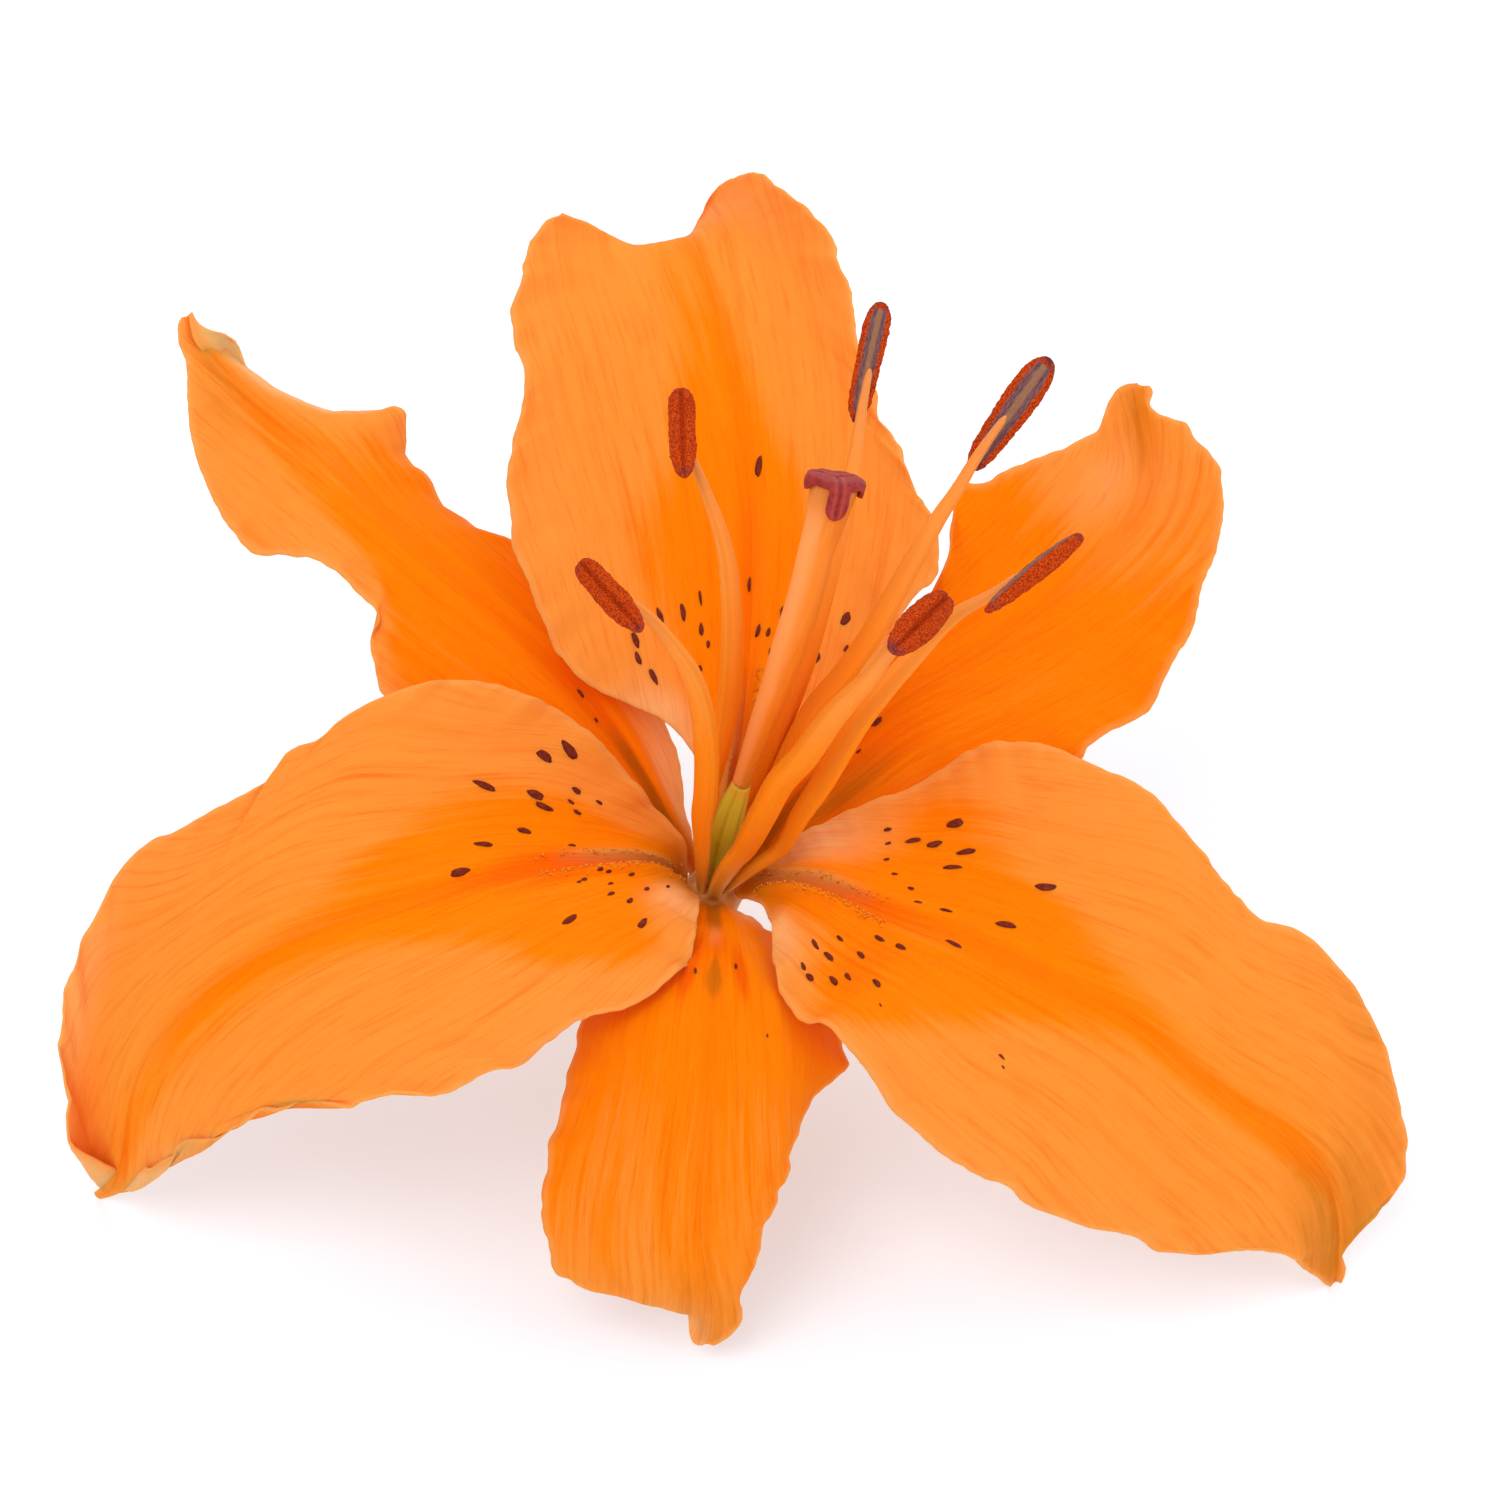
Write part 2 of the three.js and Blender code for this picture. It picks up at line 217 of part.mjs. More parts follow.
      [0.47, 16.16, -19.28, 20.4], [0.5, 13.93, -20.84, 22.08], [0.55, 11.68, -23.22, 23.88], [0.6, 10.31, -25.71, 26.08], [0.65, 9.28, -28.78, 27.68],
      [0.7, 8.82, -31.49, 28.56], [0.74, 7.59, -33.44, 28.78], [0.78, 6.58, -36.55, 28.41], [0.83, 5.23, -40.78, 27.01], [0.87, 3.97, -43.63, 25.31],
      [0.9, 3.63, -46, 23.92], [0.94, 3.62, -47.89, 22.7], [0.97, 1.83, -50.74, 21.31], [1, 0.31, -51.76, 20.52],
    ],
  },
};
const STAMENS = {
  top: { azimuth: 90, antherHalfWidth: 1.62, filamentShare: 0.9, pollenFace: -1,
    anther: [[19.89,68.59,15.36],[16.66,54.24,18.96]],
    path: [
      [-0.03, 2.09, -0.22], [2.06, 7.39, 3.72], [5.39, 13.25, 7.44], [8.65, 20.65, 12.6], [10.94, 26.99, 16.2], [12.85, 33.83, 19.2],
      [14.32, 39.52, 20.64], [15.56, 45.21, 21.36], [16.59, 50.35, 21.6], [17.4, 55.53, 21.36], [18.35, 60.34, 20.16],
    ] },
  upper_left: { azimuth: 150, antherHalfWidth: 1.62, filamentShare: 0.98, pollenFace: 1,
    anther: [[-3.27,57.5,26.16],[-2.75,46.68,36.72]],
    path: [
      [-1.49, 1.37, 0.56], [-1.24, 7.68, 6.24], [0.47, 14.22, 12], [1.31, 17.72, 15], [2.02, 22.33, 18.6], [2.38, 26.52, 21.84],
      [2.51, 31.01, 24.6], [2.29, 34.8, 26.64], [1.96, 37.8, 27.84], [1.18, 41.14, 28.8], [-0.28, 45.26, 29.64], [-1.74, 48.83, 30],
      [-2.64, 51.23, 29.52],
    ] },
  lower_left: { azimuth: 210, antherHalfWidth: 1.62, filamentShare: 1.06, pollenFace: 1,
    anther: [[-14.07,37.16,41.4],[-7.03,29.34,50.16]],
    path: [
      [-1.32, -0.07, 1.63], [-1.11, 3.57, 7.44], [-1.03, 8.41, 14.16], [-0.51, 11.95, 19.2], [-0.34, 15.42, 23.76], [-0.52, 18.82, 27.84],
      [-1.04, 22.16, 31.44], [-2.33, 25.67, 35.4], [-4.05, 28.15, 38.16], [-6.41, 31.03, 41.04], [-8.56, 32.63, 42.48], [-10.18, 33.15, 42.96],
    ] },
  bottom: { azimuth: 270, antherHalfWidth: 2.04, filamentShare: 1.2, pollenFace: 1,
    anther: [[26.26,33.42,39],[19.63,27.03,52.2]],
    path: [
      [0.3, -0.78, 1.92], [2.44, 3.26, 9.12], [3.62, 4.6, 10.8], [5.72, 8.45, 16.2], [7.99, 12.78, 21.84], [10.69, 15.77, 25.8],
      [13.54, 19.81, 30.96], [15.48, 22.13, 33.84], [17.41, 24.09, 36.6], [19.84, 27.12, 39.84], [21.42, 28.6, 41.76], [22.47, 29.78, 42.72],
    ] },
  lower_right: { azimuth: 330, antherHalfWidth: 1.8, filamentShare: 1.08, pollenFace: 1,
    anther: [[41.43,40.51,34.2],[30.42,31.68,41.4]],
    path: [
      [1.76, -0.07, 1.15], [5.39, 2.98, 7.44], [8.21, 5.04, 9.6], [10.5, 9.11, 14.16], [13.1, 13.1, 18], [14.66, 15.87, 20.64],
      [16.98, 19.86, 24], [20.38, 24.24, 27.84], [22.35, 26.47, 29.4], [27.79, 31.86, 33], [31.48, 33.91, 34.8], [34.54, 36.1, 35.52],
    ] },
  upper_right: { azimuth: 30, antherHalfWidth: 2.04, filamentShare: 0.95, pollenFace: -1,
    anther: [[39.24,61.88,17.4],[29.9,48.81,19.2]],
    path: [
      [1.59, 1.37, 0.07], [5.39, 7.17, 4.56], [7.85, 13.27, 9.6], [11.77, 20.98, 15], [15.53, 25.57, 18], [18.13, 29.21, 19.8],
      [20.05, 32.5, 21], [23.32, 38.29, 22.32], [26.38, 43.52, 22.92], [28.09, 46.03, 22.92], [30.05, 49.36, 22.68], [33.89, 54.82, 21.6],
    ] },
};
const OVARY_PATH = [[0.15,0.72,0.95],[1.24,5.53,5.52],[2.33,9.28,10.08],[3.39,12.24,13.2]];
const STYLE_PATH = [[3.57,12.71,13.62],[4.44,15.17,15.6],[5.94,19.44,19.56],[7.64,23.97,23.64],[9.31,28.99,27.6],[10.84,33.95,30.96],[12.03,38.87,33.6],[13,42.66,35.4],[13.65,45.59,36.48]];
const STIGMA_AXIS = [[13.65,45.59,36.48],[14.09,47.86,37.32]];

// ---- small numeric helpers ----
const V = (x, y, z) => new THREE.Vector3(x, y, z);

// Monotone cubic through rows [u, x, y, z, ...]; returns f(u) -> [x, y, z, ...]
function curveThrough(rows) {
  const n = rows.length, dim = rows[0].length - 1;
  const u = rows.map((r) => r[0]);
  const slopes = [];
  for (let c = 1; c <= dim; c++) {
    const h = [], d = [], m = new Array(n).fill(0);
    for (let i = 0; i < n - 1; i++) { h.push(u[i + 1] - u[i]); d.push((rows[i + 1][c] - rows[i][c]) / h[i]); }
    for (let i = 1; i < n - 1; i++) {
      if (d[i - 1] * d[i] > 0) {
        const w1 = 2 * h[i] + h[i - 1], w2 = h[i] + 2 * h[i - 1];
        m[i] = (w1 + w2) / (w1 / d[i - 1] + w2 / d[i]);
      }
    }
    const edge = (h0, h1, d0, d1) => {
      let s = ((2 * h0 + h1) * d0 - h0 * d1) / (h0 + h1);
      if (Math.sign(s) !== Math.sign(d0)) s = 0;
      else if (Math.sign(d0) !== Math.sign(d1) && Math.abs(s) > 3 * Math.abs(d0)) s = 3 * d0;
      return s;
    };
    m[0] = n > 2 ? edge(h[0], h[1], d[0], d[1]) : d[0];
    m[n - 1] = n > 2 ? edge(h[n - 2], h[n - 3], d[n - 2], d[n - 3]) : d[0];
    slopes.push(m);
  }
  return (q) => {
    const x = Math.min(Math.max(q, u[0]), u[n - 1]);
    let i = 0;
    while (i < n - 2 && x > u[i + 1]) i++;
    const h = u[i + 1] - u[i], s = (x - u[i]) / h;
    const out = [];
    for (let c = 1; c <= dim; c++) {
      const a = rows[i][c], b = rows[i + 1][c], ma = slopes[c - 1][i], mb = slopes[c - 1][i + 1];
      out.push(a * (1 + 2 * s) * (1 - s) ** 2 + ma * h * s * (1 - s) ** 2 + b * s * s * (3 - 2 * s) + mb * h * s * s * (s - 1));
    }
    return out;
  };
}

const SAMPLES = 400;
function dense(rows) {
  const f = curveThrough(rows), out = [];
  for (let i = 0; i <= SAMPLES; i++) out.push(f(i / SAMPLES));
  return out;
}
// Gaussian smoothing of a dense curve; the two ends keep their places
function smoothed(pts, sigma, keepEnds) {
  const n = Math.floor(3 * sigma * SAMPLES), N = pts.length, dim = pts[0].length;
  const k = [];
  let sum = 0;
  for (let j = -n; j <= n; j++) { const w = Math.exp(-0.5 * (j / SAMPLES / sigma) ** 2); k.push(w); sum += w; }
  const at = (i, c) => (i < 0 ? 2 * pts[0][c] - pts[-i][c] : i >= N ? 2 * pts[N - 1][c] - pts[2 * N - 2 - i][c] : pts[i][c]);
  const out = [];
  for (let i = 0; i < N; i++) {
    const row = [];
    const w = keepEnds ? Math.min(1, i / SAMPLES / 0.06, (N - 1 - i) / SAMPLES / 0.16) : 1;
    for (let c = 0; c < dim; c++) {
      let s = 0;
      for (let j = -n; j <= n; j++) s += k[j + n] * at(i + j, c);
      row.push((s / sum) * w + pts[i][c] * (1 - w));
    }
    out.push(row);
  }
  return out;
}
function lookup(pts, u) {
  const x = Math.min(Math.max(u, 0), 1) * SAMPLES, i = Math.min(Math.floor(x), SAMPLES - 1), s = x - i;
  return V(
    pts[i][0] * (1 - s) + pts[i + 1][0] * s,
    pts[i][1] * (1 - s) + pts[i + 1][1] * s,
    pts[i][2] * (1 - s) + pts[i + 1][2] * s,
  );
}

// ---- a tepal's middle surface: u runs base to tip, v runs -1 (left margin) to 1 (right margin) ----
function tepalSurface(t, name) {
  const rolls = ROLLS.filter((r) => r[0] === name);
  const mid = smoothed(dense(t.midrib), 0.02, true);
  const left = dense(t.left), right = dense(t.right);
  const leftSoft = smoothed(left, MARGIN_SOFTENING, true), rightSoft = smoothed(right, MARGIN_SOFTENING, true);
  const g = (s) => (Math.sqrt(s * s + 0.01) - 0.1) / (Math.sqrt(1.01) - 0.1);
  return (u, v) => {
    const M = lookup(mid, u), L = lookup(leftSoft, u), R = lookup(rightSoft, u);
    const a = Math.abs(v);
    const f = (1 - MIDRIB_CREASE) * v * v + MIDRIB_CREASE * g(v);
    const P = M.clone()
      .addScaledVector(R.clone().sub(L), v / 2)
      .addScaledVector(L.clone().add(R).multiplyScalar(0.5).sub(M), f);
    const edge = v < 0 ? lookup(left, u).sub(L) : lookup(right, u).sub(R);
    const tip = Math.min(1, Math.max(0, (u - 0.86) / 0.1));
    P.addScaledVector(edge, a ** (3 - 1.6 * tip * tip * (3 - 2 * tip)));
    for (const [, u0, v0, su, sv, d] of rolls) {
      P.addScaledVector(V(...d), Math.exp(-(((u - u0) / su) ** 2) - ((v - v0) / sv) ** 2));
    }
    return P;
  };
}

// ---- mesh builders ----
const lean = new THREE.Matrix4()
  .makeTranslation(BLOOM_SHIFT.x, BLOOM_SHIFT.y, BLOOM_SHIFT.z)
  .multiply(new THREE.Matrix4().makeRotationY(BLOOM_ROLL))
  .multiply(new THREE.Matrix4().makeRotationX(Math.PI / 2 - BLOOM_FACE_ELEVATION));

function solid(name, points, faces, colour, roughness) {
  let volume = 0;
  for (const [a, b, c] of faces) volume += points[a].dot(points[b].clone().cross(points[c]));
  const geometry = new THREE.BufferGeometry();
  const flat = [];
  for (const p of points) { const q = p.clone().applyMatrix4(lean); flat.push(q.x, q.y, q.z); }
  geometry.setAttribute('position', new THREE.Float32BufferAttribute(flat, 3));
  geometry.setIndex(faces.flatMap(([a, b, c]) => (volume > 0 ? [a, b, c] : [a, c, b])));
  geometry.computeVertexNormals();
  const mesh = new THREE.Mesh(geometry, new THREE.MeshStandardMaterial({ color: colour, roughness, metalness: 0 }));
  mesh.name = name;
  return mesh;
}

// Closed thin blade around a tepal surface
function blade(name, t, thick, colour) {
  const S = tepalSurface(t, name), nu = TEPAL_STATIONS, nv = TEPAL_ACROSS;
  const points = [], faces = [], e = 0.004;
  const top = (i, j) => (i * (nv + 1) + j) * 2, under = (i, j) => top(i, j) + 1;
  for (let i = 0; i <= nu; i++) {
    const s = i / nu, u = 1 - (1 - s) ** TIP_CROWDING;
    for (let j = 0; j <= nv; j++) {
      const v = -1 + (2 * j) / nv;
      const P = S(u, v);
      const du = S(Math.min(1, u + e), v).sub(S(Math.max(0, u - e), v));
      const dv = S(u, Math.min(1, v + 0.05)).sub(S(u, Math.max(-1, v - 0.05)));
      const n = du.cross(dv).normalize().multiplyScalar(t.out);
      const rim = Math.min(1, (1 - Math.abs(v)) / 0.22), end = Math.min(1, (1 - u) / 0.06);
      const h = 0.5 * thick * (MARGIN_THINNING + (1 - MARGIN_THINNING) * Math.min(rim, end));
      points.push(P.clone().addScaledVector(n, h), P.clone().addScaledVector(n, -h));
    }
  }
  for (let i = 0; i < nu; i++) for (let j = 0; j < nv; j++) {
    faces.push([top(i, j), top(i + 1, j), top(i + 1, j + 1)], [top(i, j), top(i + 1, j + 1), top(i, j + 1)]);
    faces.push([under(i, j), under(i + 1, j + 1), under(i + 1, j)], [under(i, j), under(i, j + 1), under(i + 1, j + 1)]);
  }
  const rim = [];
  for (let j = 0; j < nv; j++) rim.push([0, j]);
  for (let i = 0; i < nu; i++) rim.push([i, nv]);
  for (let j = nv; j > 0; j--) rim.push([nu, j]);
  for (let i = nu; i > 0; i--) rim.push([i, 0]);
  for (let k = 0; k < rim.length; k++) {
    const [a, b] = [rim[k], rim[(k + 1) % rim.length]];
    faces.push([top(...a), top(...b), under(...b)], [top(...a), under(...b), under(...a)]);
  }
  return solid(name, points, faces, colour, 0.55);
}

// Closed body swept along a path; section(s, angle) gives the offset in the frame (side, face)
function sweep(name, path, rings, around, side0, section, colour, roughness) {
  let total = 0;
  const rows = path.map((p, i) => { if (i) total += V(...p).distanceTo(V(...path[i - 1])); return [total, ...p]; });
  const f = curveThrough(rows);
  const at = (s) => V(...f(s * total));
  const points = [], faces = [];
  let side = side0.clone();
  rings.forEach((s) => {
    const T = at(Math.min(1, s + 0.01)).sub(at(Math.max(0, s - 0.01))).normalize();
    side = side.sub(T.clone().multiplyScalar(side.dot(T))).normalize();
    const face = T.clone().cross(side);
    const C = at(s);
    for (let k = 0; k < around; k++) {
      const [a, b] = section(s, (2 * Math.PI * k) / around);
      points.push(C.clone().addScaledVector(side, a).addScaledVector(face, b));
    }
  });
  const n = rings.length;
  for (let i = 0; i < n - 1; i++) for (let k = 0; k < around; k++) {
    const a = i * around + k, b = i * around + ((k + 1) % around), c = a + around, d = b + around;
    faces.push([a, b, d], [a, d, c]);
  }
  const first = points.length;
  points.push(at(rings[0]), at(rings[n - 1]));
  for (let k = 0; k < around; k++) {
    const k2 = (k + 1) % around, o = (n - 1) * around;
    faces.push([first, k2, k], [first + 1, o + k, o + k2]);
  }
  return solid(name, points, faces, colour, roughness);
}
const spread = (n, a = 0, b = 1) => Array.from({ length: n + 1 }, (_, i) => a + ((b - a) * i) / n);
const mix = (a, b, s) => a + (b - a) * Math.min(1, Math.max(0, s));

const lily = new THREE.Group();
lily.name = 'orange_lily_bloom';

const AXIS = V(...BLOOM_AXIS).normalize();
const UP = V(0, 1, 0).addScaledVector(AXIS, -AXIS.y).normalize();
const ACROSS = UP.clone().cross(AXIS);

// Tepals: three broad inner petals, three narrower outer sepals
for (const [name, t] of Object.entries(TEPALS)) {
  const inner = name.startsWith('petal');
  lily.add(blade(name, t, inner ? PETAL_THICKNESS : SEPAL_THICKNESS, inner ? 0xff8a1c : 0xfb7f1a));
}

const filamentWidth = curveThrough(FILAMENT_HALF_WIDTHS), flatness = curveThrough(FILAMENT_FLATNESS);
// Stamens: tapering filament with a two-lobed anther balanced on its tip
for (const [name, s] of Object.entries(STAMENS)) {
  const az = (s.azimuth * Math.PI) / 180;
  const tangent = UP.clone().multiplyScalar(Math.cos(az)).addScaledVector(ACROSS, -Math.sin(az));
  lily.add(sweep(`filament_${name}`, s.path, [0, 0.03, ...spread(13, 0.08, 0.97), 1], 8, tangent, (q, a) => {
    const wide = filamentWidth(q)[0] * s.filamentShare;
    const end = q >= 1 ? 0.45 : 1;
    return [wide * end * Math.cos(a), wide * flatness(q)[0] * end * Math.sin(a)];
  }, 0xf58a2a, 0.5));
  const [p, q] = s.anther.map((r) => V(...r));
  const along = q.clone().sub(p), side = along.clone().normalize().cross(V(0, 0, -s.pollenFace));
  lily.add(sweep(`anther_${name}`, [p, p.clone().addScaledVector(along, 0.5), q].map((r) => r.toArray()),
    [0, 0.04, 0.12, 0.26, 0.42, 0.58, 0.74, 0.88, 0.96, 1], 12, side, (r, a) => {
      const end = Math.sqrt(Math.max(0.06, 1 - Math.abs(2 * r - 1) ** 5));
      const c = Math.cos(a), d = Math.sin(a);
      return [s.antherHalfWidth * end * c * (0.92 + 0.08 * Math.abs(c)), s.antherHalfWidth * ANTHER_FLATNESS * end * d * (0.72 + 0.28 * Math.abs(c) ** 0.5)];
    }, 0x9c3b22, 0.95));
}

// Pistil: six-ribbed ovary, slender curved style, three-lobed stigma
lily.add(sweep('ovary', OVARY_PATH, [0, 0.1, 0.28, 0.5, 0.72, 0.88, 0.97, 1], 12, ACROSS, (s, a) => {
  const r = (s < 0.5 ? mix(OVARY_BASE_RADIUS, OVARY_RADIUS, s / 0.5) : mix(OVARY_RADIUS, STYLE_BASE_RADIUS, ((s - 0.5) / 0.5) ** 2)) * (1 + 0.06 * Math.cos(6 * a));
  return [r * Math.cos(a), r * Math.sin(a)];
}, 0xb9a032, 0.5));
const flare = curveThrough(STYLE_FLARE);
const styleLength = STYLE_PATH.reduce((sum, p, i) => (i ? sum + V(...p).distanceTo(V(...STYLE_PATH[i - 1])) : 0), 0);
lily.add(sweep('style', STYLE_PATH, [0, ...spread(9, 0.04, 0.78), 0.83, 0.87, 0.91, 0.94, 0.97, 1], 12, ACROSS, (s, a) => {
  const depth = (1 - s) * styleLength;
  const r = depth < 9 ? flare(depth)[0] : mix(STYLE_BASE_RADIUS, flare(9)[0], s / 0.5);
  return [r * Math.cos(a), r * Math.sin(a)];
}, 0xe08a35, 0.45));

// Stigma: a three-lobed cap on the style's flared end; the lobe on the face side folds down like a tongue
function stigmaProfile(a) {
  const bell = (d, w, p) => Math.exp(-(Math.abs(Math.atan2(Math.sin(a - d), Math.cos(a - d)) / w) ** p));
  const front = bell(-Math.PI / 2, 0.44, 5), left = bell(Math.PI / 6, 0.7, 3), right = bell((5 * Math.PI) / 6, 0.7, 3);
  const lobe = Math.max(front, left, right), drop = STIGMA_TONGUE * front + STIGMA_SIDE_DROP * Math.max(left, right);
  const R = STIGMA_RADIUS + STIGMA_LOBE * lobe;
  const wall = (d) => flare(Math.max(0, d))[0] + STYLE_GAP;
  const low = -drop;
  return [ // [radius, height above the style's end]
    [0, STYLE_GAP], [2.0, STYLE_GAP], [2.85, STYLE_GAP], [wall(drop * 0.55), STYLE_GAP + (low - STYLE_GAP) * 0.55], [wall(drop) + 0.05, low],
    [wall(drop) + 0.45, low - 0.25 * front], [wall(drop * 0.75) + 0.75, low * 0.75], [wall(drop * 0.4) + 0.75, low * 0.4 + 0.2], [R, STYLE_GAP + 0.45], [R * 0.86, STYLE_GAP + STIGMA_HEIGHT * 0.75],
    [R * 0.5, STYLE_GAP + STIGMA_HEIGHT * 0.98], [R * 0.2, STYLE_GAP + STIGMA_HEIGHT * 0.9],
  ];
}
{
  const [p, q] = STIGMA_AXIS.map((r) => V(...r));
  const T = q.clone().sub(p).normalize(), side = ACROSS.clone().addScaledVector(T, -ACROSS.dot(T)).normalize(), face = T.clone().cross(side);
  const around = 36, points = [p.clone().addScaledVector(T, STYLE_GAP), p.clone().addScaledVector(T, STYLE_GAP + STIGMA_HEIGHT * 0.86)], faces = [];
  const rows = stigmaProfile(0).length - 1;
  for (let k = 0; k < around; k++) {
    const a = (2 * Math.PI * k) / around;
    stigmaProfile(a).slice(1).forEach(([r, h]) => points.push(p.clone().addScaledVector(side, r * Math.cos(a)).addScaledVector(face, r * Math.sin(a)).addScaledVector(T, h)));
  }
  const id = (k, i) => 2 + (k % around) * rows + i;
  for (let k = 0; k < around; k++) {
    faces.push([0, id(k, 0), id(k + 1, 0)], [1, id(k + 1, rows - 1), id(k, rows - 1)]);
    for (let i = 0; i < rows - 1; i++) faces.push([id(k, i), id(k, i + 1), id(k + 1, i + 1)], [id(k, i), id(k + 1, i + 1), id(k + 1, i)]);
  }
  lily.add(solid('stigma', points, faces, 0x8c2f3a, 0.4));
}

// Cut flower stalk with the swollen receptacle that carries every part of the bloom
const stalk = spread(12).map((s) => AXIS.clone().multiplyScalar(BOSS_TOP - s * PEDICEL_LENGTH).addScaledVector(UP, PEDICEL_BEND * s * s).toArray());
const stalkProfile = [ // [distance from the top of the boss, radius]
  [0, BOSS_RADIUS * 0.86], [0.15, BOSS_RADIUS], [SHOULDER_DEPTH - 0.1, BOSS_RADIUS], [SHOULDER_DEPTH, RECEPTACLE_RADIUS * 0.9],
  [SHOULDER_DEPTH + 0.35, RECEPTACLE_RADIUS], [4, RECEPTACLE_RADIUS * 0.93], [5.6, RECEPTACLE_RADIUS * 0.72], [7.5, PEDICEL_RADIUS * 1.08],
  [11, PEDICEL_RADIUS], [16, PEDICEL_RADIUS], [21, PEDICEL_RADIUS], [26, PEDICEL_RADIUS], [PEDICEL_LENGTH * 0.98, PEDICEL_RADIUS], [PEDICEL_LENGTH, PEDICEL_RADIUS * 0.9],
];
lily.add(sweep('pedicel', stalk, stalkProfile.map(([d]) => d / PEDICEL_LENGTH), 14, ACROSS, (s, a) => {
  const r = stalkProfile.find(([d]) => Math.abs(d / PEDICEL_LENGTH - s) < 1e-9)[1];
  return [r * Math.cos(a), r * Math.sin(a)];
}, 0x7f9a3c, 0.6));

export default lily;
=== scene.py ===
# Orange lily bloom on a short cut stalk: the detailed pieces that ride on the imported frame, metres, +Z up.
import bpy
import math
import numpy as np
from mathutils import Vector, Matrix, noise


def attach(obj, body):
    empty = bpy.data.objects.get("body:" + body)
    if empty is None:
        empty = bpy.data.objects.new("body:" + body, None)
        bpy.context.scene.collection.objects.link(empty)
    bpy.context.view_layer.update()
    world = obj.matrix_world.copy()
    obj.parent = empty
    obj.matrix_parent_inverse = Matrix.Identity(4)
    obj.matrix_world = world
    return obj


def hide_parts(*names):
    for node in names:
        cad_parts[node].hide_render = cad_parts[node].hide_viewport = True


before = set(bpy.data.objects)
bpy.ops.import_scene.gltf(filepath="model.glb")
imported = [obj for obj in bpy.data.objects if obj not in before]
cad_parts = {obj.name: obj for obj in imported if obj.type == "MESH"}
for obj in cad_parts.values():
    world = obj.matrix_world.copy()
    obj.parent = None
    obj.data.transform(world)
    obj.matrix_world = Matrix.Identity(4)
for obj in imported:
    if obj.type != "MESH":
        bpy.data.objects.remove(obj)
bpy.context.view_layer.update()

MM = 0.001

